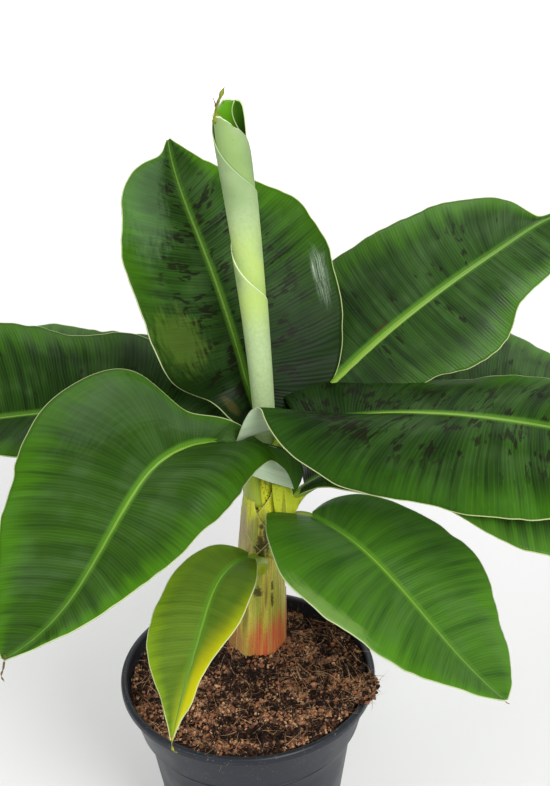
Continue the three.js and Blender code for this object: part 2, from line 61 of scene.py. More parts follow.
# 0 below the low value, 1 above the high one, and an S between them.
def smoothStep(value, low, high):
    f = np.clip((value - low) / (high - low), 0, 1)
    return f * f * (3 - 2 * f)


# Smooth noise from about -1 to 1 at points (..., 3): a seeded lattice of random values, blended.
def smoothNoise(points, seed, octaves=1):
    lattice = np.random.default_rng(seed).uniform(-1, 1, (32, 32, 32))
    total = 0
    for octave in range(octaves):
        finer = np.asarray(points) * 2**octave
        cell = np.floor(finer).astype(int)
        f = finer - cell
        f = f * f * (3 - 2 * f)
        for corner in range(8):
            offset = np.array([corner & 1, corner >> 1 & 1, corner >> 2])
            weight = np.prod(np.where(offset, f, 1 - f), axis=-1)
            index = (cell + offset) % 32
            total = total + weight * lattice[index[..., 0], index[..., 1], index[..., 2]] / 2**octave
    return total


# The same noise at coordinates given one by one.
def noiseAt(x, y, z, seed, octaves=1):
    return smoothNoise(np.stack(np.broadcast_arrays(x, y, z), -1), seed, octaves)


# Vectors divided by their own lengths.
def unit(vectors):
    return vectors / np.maximum(np.linalg.norm(vectors, axis=-1, keepdims=True), 1e-12)


# From one value to another, by a share.
def between(start, end, share):
    return start + (end - start) * share


# Evenly spaced angles once round.
def fullTurn(sides):
    return 2 * np.pi * np.arange(sides) / sides


# Points at a radius and an angle round +Z, and at a height.
def ringPoints(radius, turn, height):
    return np.stack(np.broadcast_arrays(radius * np.cos(turn), radius * np.sin(turn), height), -1)


# Smooth line through points in space, read at shares from 0 to 1.
def lineThrough(points, share):
    return np.stack([along([point[k] for point in points], share) for k in range(3)], -1)


# Screen colour, 0 to 255, as a shader's linear colour: a straight foot, then a power of 2.4.
def colour(red, green, blue):
    value = np.array([red, green, blue]) / 255
    linear = np.where(value <= 0.04045, value / 12.92, ((value + 0.055) / 1.055) ** 2.4)
    return (float(linear[0]), float(linear[1]), float(linear[2]), 1.0)


# Skins: points, arrays of faces and a map for the faces' corners

# Quads of a grid and the grid places of their corners; a wrapped grid joins up sideways.
def gridQuads(rows, columns, wrapped=False):
    i, j = np.meshgrid(np.arange(rows - 1), np.arange(columns - (0 if wrapped else 1)), indexing="ij")
    corners = [(i, j), (i, j + 1), (i + 1, j + 1), (i + 1, j)]
    places = np.stack([np.stack(corner, -1) for corner in corners], 2).reshape(-1, 4, 2)
    return places[..., 0] * columns + places[..., 1] % columns, places


# Closed skin through rings (rows, columns, 3), a fan over each end. Its map runs in metres:
# round the ring by its girth, and lengthways by the height given for each ring.
def tubeSkin(rings, girth, heights):
    rows, columns = rings.shape[:2]
    quads, places = gridQuads(rows, columns, wrapped=True)
    around = np.arange(columns)
    first = np.stack([np.full(columns, rows * columns), (around + 1) % columns, around], -1)
    lastRing = (rows - 1) * columns
    last = lastRing + first[:, [0, 2, 1]]
    last[:, 0] = rows * columns + 1
    points = np.concatenate([rings.reshape(-1, 3), rings[:1].mean(1), rings[-1:].mean(1)])
    heights = np.asarray(heights, float)
    quadMap = np.stack([places[..., 1] * girth / columns, heights[places[..., 0]]], -1)
    endMap = np.stack([np.stack([around + 0.5, around + 1, around], -1) * girth / columns] * 2, -1)
    maps = [quadMap]
    for height in (heights[0], heights[-1]):
        fan = endMap.copy()
        fan[..., 1] = height
        maps.append(fan)
    return {"points": points, "faces": [quads, first, last], "maps": maps}


# Closed skin of two close grids (rows, columns, 3), joined round their border.
def shellSkin(top, bottom):
    rows, columns = top.shape[:2]
    quads, _ = gridQuads(rows, columns)
    count = rows * columns
    i, j = np.arange(rows - 1), np.arange(columns - 1)
    border = np.concatenate([j, i * columns + columns - 1, count - 1 - j, (rows - 1 - i) * columns])
    after = np.roll(border, -1)
    wall = np.stack([after, border, border + count, after + count], -1)
    points = np.concatenate([top.reshape(-1, 3), bottom.reshape(-1, 3)])
    return {"points": points, "faces": [np.concatenate([quads, quads[:, ::-1] + count, wall])], "maps": None}


# Six times the volume that a skin encloses; below zero where it is inside out.
def enclosed(skin):
    total = 0.0
    for group in skin["faces"]:
        corners = skin["points"][group]
        for k in range(1, group.shape[1] - 1):
            total += np.einsum("ij,ij", corners[:, 0], np.cross(corners[:, k], corners[:, k + 1]))
    return total


# Three values for every point of a shell: a grid counts for both of its faces, and a pair gives one number
# for the upper face and one for the lower.
def forShell(shape, *parts):
    size = shape[0] * shape[1]
    columns = [np.repeat(part, size) if isinstance(part, tuple)
               else np.tile(np.broadcast_to(part, shape).ravel(), 2) for part in parts]
    return np.stack(columns, -1)


# A finished piece, turned right side out: it rides on the plant's one body and stands for its nodes.
def addPiece(name, skin, material, nodes, values=None):
    flip = slice(None, None, -1 if enclosed(skin) < 0 else 1)
    faces = [group[:, flip] for group in skin["faces"]]
    mesh = bpy.data.meshes.new(name)
    mesh.from_pydata(skin["points"].tolist(), [], [face for group in faces for face in group.tolist()])
    if skin["maps"] is not None:
        layer = mesh.uv_layers.new(name="skinMap")
        flat = np.concatenate([group[:, flip].reshape(-1, 2) for group in skin["maps"]])
        layer.data.foreach_set("uv", flat.astype(np.float32).ravel())
    for key, value in (values or {}).items():
        attribute = mesh.attributes.new(key, "FLOAT_VECTOR", "POINT")
        attribute.data.foreach_set("vector", np.asarray(value, np.float32).ravel())
    mesh.polygons.foreach_set("use_smooth", np.full(len(mesh.polygons), True))
    mesh.update()
    mesh.materials.append(material)
    piece = bpy.data.objects.new(name, mesh)
    scene.collection.objects.link(piece)
    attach(piece, "root")
    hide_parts(*nodes)
    return piece


# Shader nodes

# A value reaches a socket as a link or as a plain number.
def feed(tree, socket, value):
    if isinstance(value, bpy.types.NodeSocket):
        tree.links.new(value, socket)
    else:
        socket.default_value = value


# A node with its settings, and with values fed to its sockets.
def addNode(tree, kind, sockets=None, **settings):
    node = tree.nodes.new("ShaderNode" + kind)
    for name, value in settings.items():
        setattr(node, name, value)
    for name, value in (sockets or {}).items():
        feed(tree, node.inputs[name], value)
    return node


# One step of arithmetic on sockets or numbers; MULTIPLY_ADD is first times second, plus third.
def calc(tree, operation, *values):
    return addNode(tree, "Math", dict(enumerate(values)), operation=operation).outputs[0]


# Product of two values.
def times(tree, first, second):
    return calc(tree, "MULTIPLY", first, second)


# Smooth step of a value between two others, as a mask from 0 to 1 or between two ends.
def ramp(tree, value, low, high, start=0.0, end=1.0):
    sockets = dict(enumerate((value, low, high, start, end)))
    return addNode(tree, "MapRange", sockets, interpolation_type="SMOOTHSTEP").outputs[0]


# First colour where the factor is 0, second where it is 1.
def mixColour(tree, factor, first, second):
    return addNode(tree, "Mix", {0: factor, 6: first, 7: second}, data_type="RGBA").outputs[2]


# Colours laid over a first one in turn, each by its own mask.
def layered(tree, finish, *layers):
    for mask, tint in layers:
        finish = mixColour(tree, mask, finish, tint)
    return finish


# The three parts of a vector: x, y and z.
def separate(tree, vector):
    return addNode(tree, "SeparateXYZ", {"Vector": vector}).outputs


# A vector of three parts, each scaled by its own number, so that a pattern read there is drawn out.
def scaled(tree, parts, scales):
    sockets = {k: times(tree, part, scale) for k, (part, scale) in enumerate(zip(parts, scales))}
    return addNode(tree, "CombineXYZ", sockets).outputs[0]


# Smooth noise from 0 to 1: each octave of its detail is twice as fine, and weaker by its roughness.
def noise(tree, vector, scale=1.0, detail=2.0, roughness=0.5):
    sockets = {"Vector": vector, "Scale": scale, "Detail": detail, "Roughness": roughness}
    return addNode(tree, "TexNoise", sockets).outputs["Fac"]


# Place on the whole plant, in metres.
def objectPlace(tree):
    return addNode(tree, "TexCoord").outputs["Object"]


# A value that the piece's own points carry.
def pointValue(tree, name):
    return addNode(tree, "Attribute", attribute_name=name).outputs["Vector"]


# An empty node group: its tree, what is given to it and the sockets of its results.
def newGroup(name, inputs, outputs):
    tree = bpy.data.node_groups.new(name, "ShaderNodeTree")
    for label, kind in inputs.items():
        tree.interface.new_socket(name=label, in_out="INPUT", socket_type="NodeSocket" + kind)
    for label in outputs:
        tree.interface.new_socket(name=label, in_out="OUTPUT", socket_type="NodeSocketFloat")
    return tree, tree.nodes.new("NodeGroupInput").outputs, tree.nodes.new("NodeGroupOutput").inputs


# A group placed in a material, with its own values.
def useGroup(tree, group, sockets):
    node = tree.nodes.new("ShaderNodeGroup")
    node.node_tree = group
    for name, value in sockets.items():
        feed(tree, node.inputs[name], value)
    return node.outputs


# A material and its nodes; what is the same all over is set on its shader itself.
def newMaterial(name, **constants):
    material = bpy.data.materials.new(name)
    material.use_nodes = True
    tree = material.node_tree
    for label, value in constants.items():
        tree.nodes["Principled BSDF"].inputs[label.replace("_", " ")].default_value = value
    return material, tree


# What changes over the surface reaches the material's shader: colour, relief and roughness.
def dress(material, finish, height, strength, depth, roughness=None):
    tree = material.node_tree
    shader = tree.nodes["Principled BSDF"]
    feed(tree, shader.inputs["Base Color"], finish)
    if roughness is not None:
        feed(tree, shader.inputs["Roughness"], roughness)
    relief = addNode(tree, "Bump", {"Height": height, "Strength": strength, "Distance": depth})
    feed(tree, shader.inputs["Normal"], relief.outputs[0])
    return material


# Side veins of a leaf. Place is metres along the midrib, metres out along the vein, and the side.
# Lines: sines across the veins, raised to narrow lines. Streaks and bands: noise drawn out along the veins;
# the bands also paint fold shade into a blade's colour.
def veinGroup():
    names = ("Lines", "Streaks", "Bands", "Height")
    tree, given, result = newGroup("sideVeins", {"Place": "Vector", "Spacing": "Float"}, names)
    parts = separate(tree, given["Place"])
    waver = calc(tree, "SUBTRACT", noise(tree, scaled(tree, parts, (90.0, 24.0, 1.0)), detail=1.0), 0.5)
    turns = calc(tree, "DIVIDE", calc(tree, "MULTIPLY_ADD", waver, 0.004, parts[0]), given["Spacing"])
    half = calc(tree, "MULTIPLY_ADD", calc(tree, "SINE", times(tree, turns, 2 * np.pi)), 0.5, 0.5)
    streaks = noise(tree, scaled(tree, parts, (260.0, 13.0, 7.0)), detail=3.0, roughness=0.55)
    bands = noise(tree, scaled(tree, parts, (95.0, 11.0, 7.0)))
    fineHeight = calc(tree, "MULTIPLY_ADD", half, 0.25, times(tree, streaks, 0.6))
    height = calc(tree, "MULTIPLY_ADD", bands, 2.4, fineHeight)
    for name, value in zip(names, (calc(tree, "POWER", half, 6.0), streaks, bands, height)):
        feed(tree, result[name], value)
    return tree


# Blotches that keep between the veins: random cells drawn out along them, gathered by a broad noise.
def blotchGroup():
    tree, given, result = newGroup("veinBlotches", {"Place": "Vector", "Amount": "Float"}, ["Mask"])
    parts = separate(tree, given["Place"])
    cells = scaled(tree, parts, (640.0, 170.0, 1.0))
    chance = addNode(tree, "TexVoronoi", {"Vector": cells, "Scale": 1.0}).outputs["Color"]
    broad = noise(tree, scaled(tree, parts, (95.0, 50.0, 1.0)))
    level = calc(tree, "MULTIPLY_ADD", separate(tree, chance)[0], 0.3, broad)
    limit = calc(tree, "SUBTRACT", 0.95, times(tree, given["Amount"], 0.4))
    feed(tree, result["Mask"], ramp(tree, level, limit, calc(tree, "ADD", limit, 0.09)))
    return tree


# Fibres that run along a stem: fine and broad noise drawn out along the second coordinate.
def fibreGroup():
    inputs = {"Place": "Vector", "Fineness": "Float"}
    tree, given, result = newGroup("stemFibres", inputs, ["Fine", "Broad"])
    parts = separate(tree, given["Place"])
    fine = scaled(tree, parts, (given["Fineness"], 18.0, 1.0))
    feed(tree, result["Fine"], noise(tree, fine, detail=3.0, roughness=0.6))
    feed(tree, result["Broad"], noise(tree, scaled(tree, parts, (160.0, 14.0, 1.0))))
    return tree


# Small dark specks: where a fine noise stands above a level that a broad noise moves.
def speckGroup():
    inputs = {"Place": "Vector", "Size": "Float", "Amount": "Float"}
    tree, given, result = newGroup("specks", inputs, ["Mask"])
    scale = calc(tree, "DIVIDE", 1.0, given["Size"])
    fine = noise(tree, given["Place"], scale, detail=1.0)
    broad = noise(tree, given["Place"], times(tree, scale, 0.13), detail=1.0)
    limit = calc(tree, "SUBTRACT", 1.05, times(tree, given["Amount"], 0.4))
    level = calc(tree, "MULTIPLY_ADD", broad, 0.35, fine)
    feed(tree, result["Mask"], ramp(tree, level, limit, calc(tree, "ADD", limit, 0.04)))
    return tree


# A soft oval patch about a centre, its edge broken by noise: 1 inside, 0 beyond its distance of 1.
def patchGroup():
    inputs = {"Share": "Vector", "Centre": "Vector", "Size": "Vector", "Ragged": "Float"}
    tree, given, result = newGroup("softPatch", inputs, ["Mask"])
    away = given["Share"]
    for operation, other in (("SUBTRACT", "Centre"), ("DIVIDE", "Size")):
        away = addNode(tree, "VectorMath", {0: away, 1: given[other]}, operation=operation).outputs[0]
    x, y, _ = separate(tree, away)
    distance = calc(tree, "SQRT", calc(tree, "ADD", times(tree, x, x), times(tree, y, y)))
    broken = calc(tree, "SUBTRACT", noise(tree, given["Share"], 26.0, detail=3.0), 0.5)
    rough = calc(tree, "MULTIPLY_ADD", broken, given["Ragged"], distance)
    feed(tree, result["Mask"], ramp(tree, rough, 0.45, 1.15, 1.0, 0.0))
    return tree


sideVeins = veinGroup()
veinBlotches = blotchGroup()
stemFibres = fibreGroup()
specks = speckGroup()
softPatch = patchGroup()
print("shader groups ready")


# Leaves

# What all blades share. Angles in degrees; lists run from the base of the blade to its tip.
blade = {
    "rows": 220,
    "columns": 24,  # on each half
    "thickness": 0.0008,
    "edgeThickness": 0.0005,
    "pleat": 0.00055,  # depth of the folds between the main side veins
    "pleatLength": 0.0125,
    "pleatWaver": (0.004, 0.03),  # how far the folds wander, and over what length
    "pleatFade": 0.022,  # length over which they come and go
    "ripple": 0.0016,  # broad unevenness of the surface
    "rippleLength": 0.045,
    "ruffle": 0.0009,  # waviness of the margin
    "ruffleLength": 0.013,
    "nibble": 0.012,  # unevenness of the margin's line, as a share of the half width
    "nibbleLength": 0.009,
    "thinMargin": 0.004,  # width over which a blade thins towards its margin
    "veinSpacing": 0.0018,
    "patternStep": 0.31,  # how far apart the leaves read their pattern
    "outline": [0.6, 0.95, 1, 0.95, 0.75, 0.05],
    "sweep": [-35, 0, 10, 15, 25, 45],
    "curve": 18,
    "lift": [20, 12, 5],
    "bend": [20, 20, 20],
    "curl": [0, 0, 0],  # how far the outer part of a half rolls up (or down, below 0)
    "wave": {"height": 0, "count": 2, "phase": 0},
    "waveShift": 0.25,
    "seed": 100,
}

bladeLook = {
    "deep": colour(46, 82, 24),
    "dark": colour(18, 36, 12),
    # painted sheen colour, which also tints the underside's streaks
    "sheenAndUnderStreaks": colour(78, 108, 62),
    # painted light shining through the thin margin
    "marginGlow": colour(78, 136, 8),
    "pale": colour(108, 148, 62),
    "ribSide": colour(88, 138, 38),
    "blotch": colour(24, 21, 14),
    "edge": colour(196, 208, 146),
    "under": colour(198, 216, 184),
    "blotches": 0.25,
    "marginGlowAmount": 0.55,
    "sheenAmount": 0.42,
    # painted shade towards the base
    "shade": 0.6,  # how much darker the blade is towards its base
    "gloss": 0.16,
    # patches: shares along the midrib and out from it, half sizes, raggedness, strength and colour, and for
    # scratches how fine they are lengthwise and crosswise
    "patches": [],
    # where a colour starts and where it is full
    # the bands in this mix are painted fold shade
    "streakAndFoldShadeRange": (0.28, 0.68),  # of the mixed streaks and bands
    # the clouds place the painted sheen
    "clouds": (0.42, 0.66),  # of a broad noise
    "cloudScale": 38.0,
    "sheenStreaks": (0.3, 0.7),
    # where the painted light through the margin starts and where it is full
    "marginGlowReach": (0.6, 1.0),  # share out from the midrib
    "shadedBase": (-0.1, 0.5),  # share along it
    "blotched": (0.45, 0.8),
    "tipped": (0.55, 1.05),
    "scratched": (0.5, 0.62),
    "besideRib": (0.0012, 0.0042),  # metres out from the midrib
    "rim": (0.0003, 0.0008),  # metres in from the margin
    "roughness": (0.3, 0.42),
    "relief": (0.4, 0.0008),  # strength and depth
}

leaves = {
    "back": {
        "node": 0.280, "start": (0.011, 0.045, 0.329), "length": 0.183, "widthL": 0.068, "widthR": 0.071,
        "rise": [62, 58, 48, 32], "heading": [119, 121, 120, 98],
        "liftL": [21, 6, 18, 17, 16, 15, 14, 12, 11, 9, 8], "liftR": [20, 15, 8],
        "bendL": [-18, 29, 5, 5, 5, 5, 6, 7, 8, 9, 10], "bendR": [5, 5, 10],
        "outlineL": [0.31, 0.42, 0.9, 0.95, 0.98, 0.98, 0.83, 0.69, 0.47, 0.16, 0.02],
        "outlineR": [0.41, 0.84, 1.02, 1.1, 1.1, 1.04, 0.82, 0.59, 0.38, 0.21, 0.04],
        "sweepL": [-34, -21, -5, 2, 8, 12, 15, 21, 28, 38, 50], "sweepR": [-36, -5, 8, 15, 28, 50],
        "look": {"blotches": 0.6, "shade": 0.95, "gloss": 0.05, "patches": [
            (0.27, -0.66, 0.1, 0.34, 1.5, 0.27, colour(112, 142, 52)),
            (0.30, 0.86, 0.075, 0.08, 1.2, 0.75, colour(196, 210, 192), 14, 420),
            (0.06, -0.7, 0.04, 0.16, 1.0, 0.35, colour(96, 88, 44)),
            # painted sheen near the upper margin
            (0.72, -0.7, 0.22, 0.4, 0.8, 0.42, colour(104, 140, 92)),
        ]},
    },
    "backRight": {
        "node": 0.276, "start": (0.039, 0.050, 0.321), "length": 0.250, "widthL": 0.064, "widthR": 0.066,
        "rise": [35, 34, 27, 21, 14, -40], "heading": [23, 24, 27, 28],
        "liftL": [28, 26, 12], "liftR": [-25, -25, -15], "bendL": [12, 15, 25], "bendR": [30, 25, 30],
        "outlineL": [0.8, 1, 1.09, 1.06, 1.02, 0.97, 0.88, 0.6, 0.1, 0.1, 0.03],
        "outlineR": [0.3, 0.45, 0.6, 0.66, 0.83, 0.81, 0.59, 0.53, 0.42, 0.28, 0.05],
        "sweepL": [-30, -18, -5, -2, 0, 4, 10, 30, 40, 40, 40], "sweepR": [-30, -5, 0, 8, 15, 30],
        "look": {"blotches": 0.3, "patches": [
            (0.3, -0.06, 0.028, 0.022, 1.2, 0.7, colour(62, 44, 28)),
        ]},
    },
    "right": {
        "node": 0.284, "start": (0.041, 0.024, 0.328), "length": 0.262, "widthL": 0.058, "widthR": 0.072,
        "rise": [19, 7, -5, -18], "heading": [-12, -20, -20, -18],
        "liftL": [25, 11, 5, 5, 10, 25, 40, 45, 30, 20, 10],
        "bendL": [15, 15, 15, 15, 20, 50, 75, 75, 50, 30, 20],
        "liftR": [24, 34, 24, 6, 4, -4, 0, 2, 4, 5, 5],
        "bendR": [30, 0, 50, 64, 70, 38, 33, 31, 29, 27, 25],
        "outlineL": [0.95, 1.1, 0.9, 0.92, 0.82, 0.9, 1, 0.95, 0.8, 0.5, 0.05],
        "outlineR": [0.63, 0.81, 0.92, 1, 0.97, 0.94, 0.87, 0.82, 0.68, 0.4, 0.05],
        "sweepR": [-70, -62, -50, -38, -18, 6, 10, 14, 20, 32, 45],
        "wave": {"height": 0.006, "count": 2, "phase": 0.35},
        "look": {"blotches": 0.6, "gloss": 0.05, "shade": 0.7, "marginGlow": colour(66, 126, 4)},
    },
    "frontLeft": {
        "node": 0.268, "start": (-0.013, 0.011, 0.326), "length": 0.198, "widthL": 0.070, "widthR": 0.074,
        "rise": [18, -14, -34, -12], "heading": [208, 241, 231, 208],
        "look": {"deep": colour(50, 86, 18), "dark": colour(35, 63, 15), "marginGlow": colour(78, 138, 6),
                 "sheenAndUnderStreaks": colour(78, 104, 66), "gloss": 0.07, "shade": 0.5, "blotches": 0.0, "patches": [
            # painted sheen
            (0.16, 0.6, 0.16, 0.34, 1.2, 0.2, colour(100, 124, 92)),
        ]},
        "liftL": [-2, -3, 0, 9, 5, 10, 11, 10, 10, 9, 8],
        "liftR": [20, 54, 38, 36, 33, 30, 26, 22, 17, 13, 8],
        "bendL": [-20, -17, 3, 21, 32, 30, 29, 27, 24, 22, 20],
        "bendR": [-5, 14, 29, 31, 31, 30, 29, 27, 24, 22, 20],
        "curlL": [-127, -71, -62, -59, -28, -5, 0, 0, 0, 0, 0],
        "outlineL": [1.21, 0.9, 0.87, 0.9, 0.72, 0.62, 0.49, 0.35, 0.22, 0.11, 0.02],
        "outlineR": [0.29, 0.32, 1.01, 1.03, 0.95, 0.9, 0.82, 0.71, 0.56, 0.32, 0.02],
        "sweepL": [-71, -67, -45, -24, -10, 8, 12, 16, 22, 30, 40],
        "sweepR": [-86, -28, -27, 7, 10, 12, 15, 19, 25, 34, 45],
    },
    "left": {
        "node": 0.272, "start": (-0.026, 0.041, 0.315), "length": 0.235, "widthL": 0.054, "widthR": 0.065,
        "rise": [22, -5, -10, -18], "heading": [167, 173, 176, 178],
        "liftL": [5, 2, 12, 14, 14], "liftR": [6, 30, 32, 33, 35, 38, 40, 42, 42, 41, 40],
        "bendL": [20, 25, 30], "bendR": [0, 20, 22, 23, 24, 25, 26, 27, 28, 29, 30],
        "outlineL": [0.6, 0.8, 0.95, 0.95, 0.92, 0.85, 0.8, 0.75, 0.6, 0.35, 0.05],
        "outlineR": [0.48, 0.76, 0.98, 0.97, 1.16, 1.25, 1.2, 1.05, 0.85, 0.45, 0.05],
        "sweepR": [-55, -20, 0, 7, 10, 12, 15, 19, 25, 34, 45],
        "look": {"deep": colour(38, 72, 16), "dark": colour(14, 30, 8), "gloss": 0.06},
    },
    "small": {
        "node": 0.205, "start": (0.004, -0.002, 0.245), "length": 0.134, "widthL": 0.025, "widthR": 0.038,
        "rise": [15, -22, -38, -45], "heading": [222, 250, 248, 251],
        "lift": [20, 15, 8], "bend": [15, 15, 15],
        "outlineL": [0.21, 0.69, 1.11, 1.11, 0.98, 0.75, 0.55, 0.4, 0.34, 0.14, 0.03],
        "outlineR": [0.13, 0.54, 0.73, 0.82, 0.88, 0.87, 0.76, 0.57, 0.36, 0.18, 0.03],
        "sweep": [-45, 0, 10, 15, 22, 35],
        "look": {"deep": colour(96, 124, 34), "dark": colour(76, 104, 28), "marginGlow": colour(140, 172, 8),
                 "sheenAndUnderStreaks": colour(112, 140, 46), "gloss": 0.08, "blotches": 0.0,
                 "tip": colour(190, 188, 16), "tipSide": -0.45},
    },
    "lowerRight": {
        "node": 0.226, "start": (0.046, 0.011, 0.266), "length": 0.167, "widthL": 0.048, "widthR": 0.060,
        "rise": [-3, -27, -38, -31], "heading": [-37, -43, -38, -31],
        "lift": [20, 15, 8], "bend": [20, 20, 20],
        "outlineL": [0.14, 0.7, 1, 1.2, 1.3, 1.27, 1.16, 1, 0.81, 0.49, 0.05],
        "outlineR": [0.51, 0.83, 1.12, 1.11, 0.97, 0.86, 0.74, 0.56, 0.36, 0.2, 0.02],
        "sweepL": [-45, 0, 10, 12, 20, 40], "sweepR": [-50, -14, 5, 10, 15, 35],
        "look": {"deep": colour(72, 120, 28), "dark": colour(42, 80, 20), "blotches": 0.0, "shade": 0.3,
                 "patches": [(0.33, 0.95, 0.14, 0.12, 1.0, 0.5, colour(128, 158, 84))]},
    },
    "rightUnder": {
        "node": 0.240, "start": (0.041, 0.019, 0.286), "length": 0.240, "widthL": 0.044, "widthR": 0.054,
        "rise": [44, 12, -14, -34], "heading": [-30, -22, -18, -16], "liftL": [26, 8, 0],
        "liftR": [0, 0, 0], "bendL": [10, 30, 35], "bendR": [35, 35, 35],
        "outlineL": [1, 1, 1, 0.95, 0.75, 0.05], "sweepL": [-28, -5, 8, 15, 25, 45],
        "outlineR": [0.15, 0.24, 0.47, 0.57, 0.67, 0.89, 1, 0.93, 0.78, 0.45, 0.05],
    },
    "rightBehind": {
        "node": 0.262, "start": (0.050, 0.043, 0.305), "length": 0.205, "widthL": 0.062, "widthR": 0.042,
        "rise": [22, 8, -10, -36], "heading": [12, 12, 10, 8],
        "liftL": [15, 15, 10], "liftR": [-15, -10, -5], "bend": [20, 20, 25],
        "outlineL": [0.6, 0.95, 1.1, 1.15, 1.2, 1.2, 1.15, 0.93, 0.72, 0.32, 0.05],
        "outlineR": [0.6, 0.95, 1, 0.88, 0.6, 0.05],
    },
    "backLeft": {
        "node": 0.266, "start": (-0.020, 0.055, 0.312), "length": 0.200, "widthL": 0.055, "widthR": 0.055,
        "rise": [20, 0, -6, -20], "heading": [148, 148, 148, 150],
        "liftL": [-5, -5, -5], "liftR": [25, 20, 15], "bend": [15, 20, 25],
        "outlineR": [0.6, 0.7, 0.72, 0.9, 0.92, 0.86, 0.86, 0.86, 0.8, 0.5, 0.05],
    },
}


# Directions along a midrib: forward, to its right, and up out of the leaf's face.
def leafFrame(rise, heading):
    e, a = np.radians(rise), np.radians(heading)
    forward = np.stack([np.cos(e) * np.cos(a), np.cos(e) * np.sin(a), np.sin(e)], -1)
    side = np.stack([np.sin(a), -np.cos(a), 0 * a], -1)
    up = np.stack([-np.sin(e) * np.cos(a), -np.sin(e) * np.sin(a), np.cos(e)], -1)
    return forward, side, up


# The midrib's line: from its start, steps of equal length in the mean direction of their two ends.
def midrib(leaf, rows):
    share = np.linspace(0, 1, rows)
    forward, side, up = leafFrame(along(leaf["rise"], share), along(leaf["heading"], share))
    steps = 0.5 * (forward[1:] + forward[:-1]) * leaf["length"] / (rows - 1)
    walk = np.concatenate([np.zeros((1, 3)), np.cumsum(steps, axis=0)])
    return share, np.array(leaf["start"]) + gap * forward[0] + walk, forward, side, up


# The lists of one half of a blade: its own, else the leaf's, else what all blades share.
def halfKeys(leaf, name, half):
    return leaf.get(name + half, leaf.get(name, blade[name]))


# One half of a blade as a grid. Each vein leaves the midrib at its sweep, turns towards the tip,
# rises by its lift and turns down by its bend, and rolls by its curl beyond two fifths of its length:
# the direction is summed along the vein by the midpoint rule.
def bladeHalf(leaf, half, seed):
    share, spine, forward, side, up = midrib(leaf, blade["rows"])
    sign = -1 if half == "L" else 1
    t = np.linspace(0, 1, blade["columns"])
    x = share * leaf["length"]
    read = {name: along(halfKeys(leaf, name, half), share)[:, None]
            for name in ("outline", "sweep", "lift", "bend", "curl")}
    phi = np.radians(read["sweep"] + blade["curve"] * t * (1 - np.abs(read["sweep"]) / 90))
    theta = np.radians(read["lift"] - read["bend"] * t + read["curl"] * smoothStep(t, 0.4, 1))
    direction = (sign * side[:, None] * (np.cos(theta) * np.cos(phi))[..., None]
                 + forward[:, None] * (np.cos(theta) * np.sin(phi))[..., None]
                 + up[:, None] * np.sin(theta)[..., None])
    jagged = 1 + blade["nibble"] * noiseAt(x / blade["nibbleLength"], sign * 5.0, 0.5, seed, 2)
    length = leaf["width" + half] * read["outline"] * jagged[:, None]
    steps = 0.5 * (direction[:, 1:] + direction[:, :-1]) * (length * np.diff(t))[..., None]
    walk = np.concatenate([np.zeros((len(x), 1, 3)), np.cumsum(steps, axis=1)], axis=1)
    grid = spine[:, None] + walk
    wave = leaf.get("wave", blade["wave"])
    phase = wave["count"] * share + wave["phase"] + (blade["waveShift"] if sign > 0 else 0)
    swing = wave["height"] * np.sin(2 * np.pi * phase) * np.sqrt(np.sin(np.pi * share))
    grid = grid + up[:, None] * (swing[:, None] * t**2)[..., None]
    values = {"x": np.repeat(x[:, None], len(t), 1), "y": sign * length * t,
              "t": sign * np.repeat(t[None], len(x), 0), "u": np.repeat(share[:, None], len(t), 1),
              "edge": length * (1 - t)}
    return grid, values


# Directions square to a grid of points, pointing out of the upper face of a leaf.
def gridNormals(grid):
    ahead, across = np.gradient(grid, axis=0), np.gradient(grid, axis=1)
    return unit(np.cross(across, ahead))


# How far the blade's surface stands out of its smooth form: folds like the top of a sine between
# sharp valleys, broad unevenness and a ruffled margin, all weaker towards the midrib.
def reliefOf(values, seed):
    x, t = values["x"], values["t"]
    reach = np.abs(t)
    waver, waverLength = blade["pleatWaver"]
    turn = (x + waver * noiseAt(x / waverLength, t * 1.5, 0.0, seed)) / blade["pleatLength"]
    fold = np.abs(np.sin(np.pi * turn)) ** 0.7 - 0.65
    strength = 0.65 + 0.5 * noiseAt(x / blade["pleatFade"], t, 3.0, seed + 1)
    folds = blade["pleat"] * fold * strength * np.sqrt(reach) * (1 - 0.7 * reach**3)
    broad = blade["ripple"] * noiseAt(x / blade["rippleLength"], t * 2.2, 7.0, seed + 2) * reach
    margin = noiseAt(x / blade["ruffleLength"], np.sign(t) * 4, 1.0, seed + 3, 2)
    margin = blade["ruffle"] * margin * reach**6
    return folds + broad + margin


# A whole blade: both halves side by side with their relief on, and the lower face a thickness below.
def bladePoints(leaf, seed):
    leftGrid, left = bladeHalf(leaf, "L", seed)
    rightGrid, right = bladeHalf(leaf, "R", seed)
    grid = np.concatenate([leftGrid[:, :0:-1], rightGrid], axis=1)
    values = {key: np.concatenate([left[key][:, :0:-1], right[key]], axis=1) for key in left}
    grid = grid + gridNormals(grid) * reliefOf(values, seed)[..., None]
    thin = smoothStep(values["edge"], 0, blade["thinMargin"])
    thickness = between(blade["edgeThickness"], blade["thickness"], thin)
    bottom = grid - gridNormals(grid) * thickness[..., None]
    return grid, bottom, values
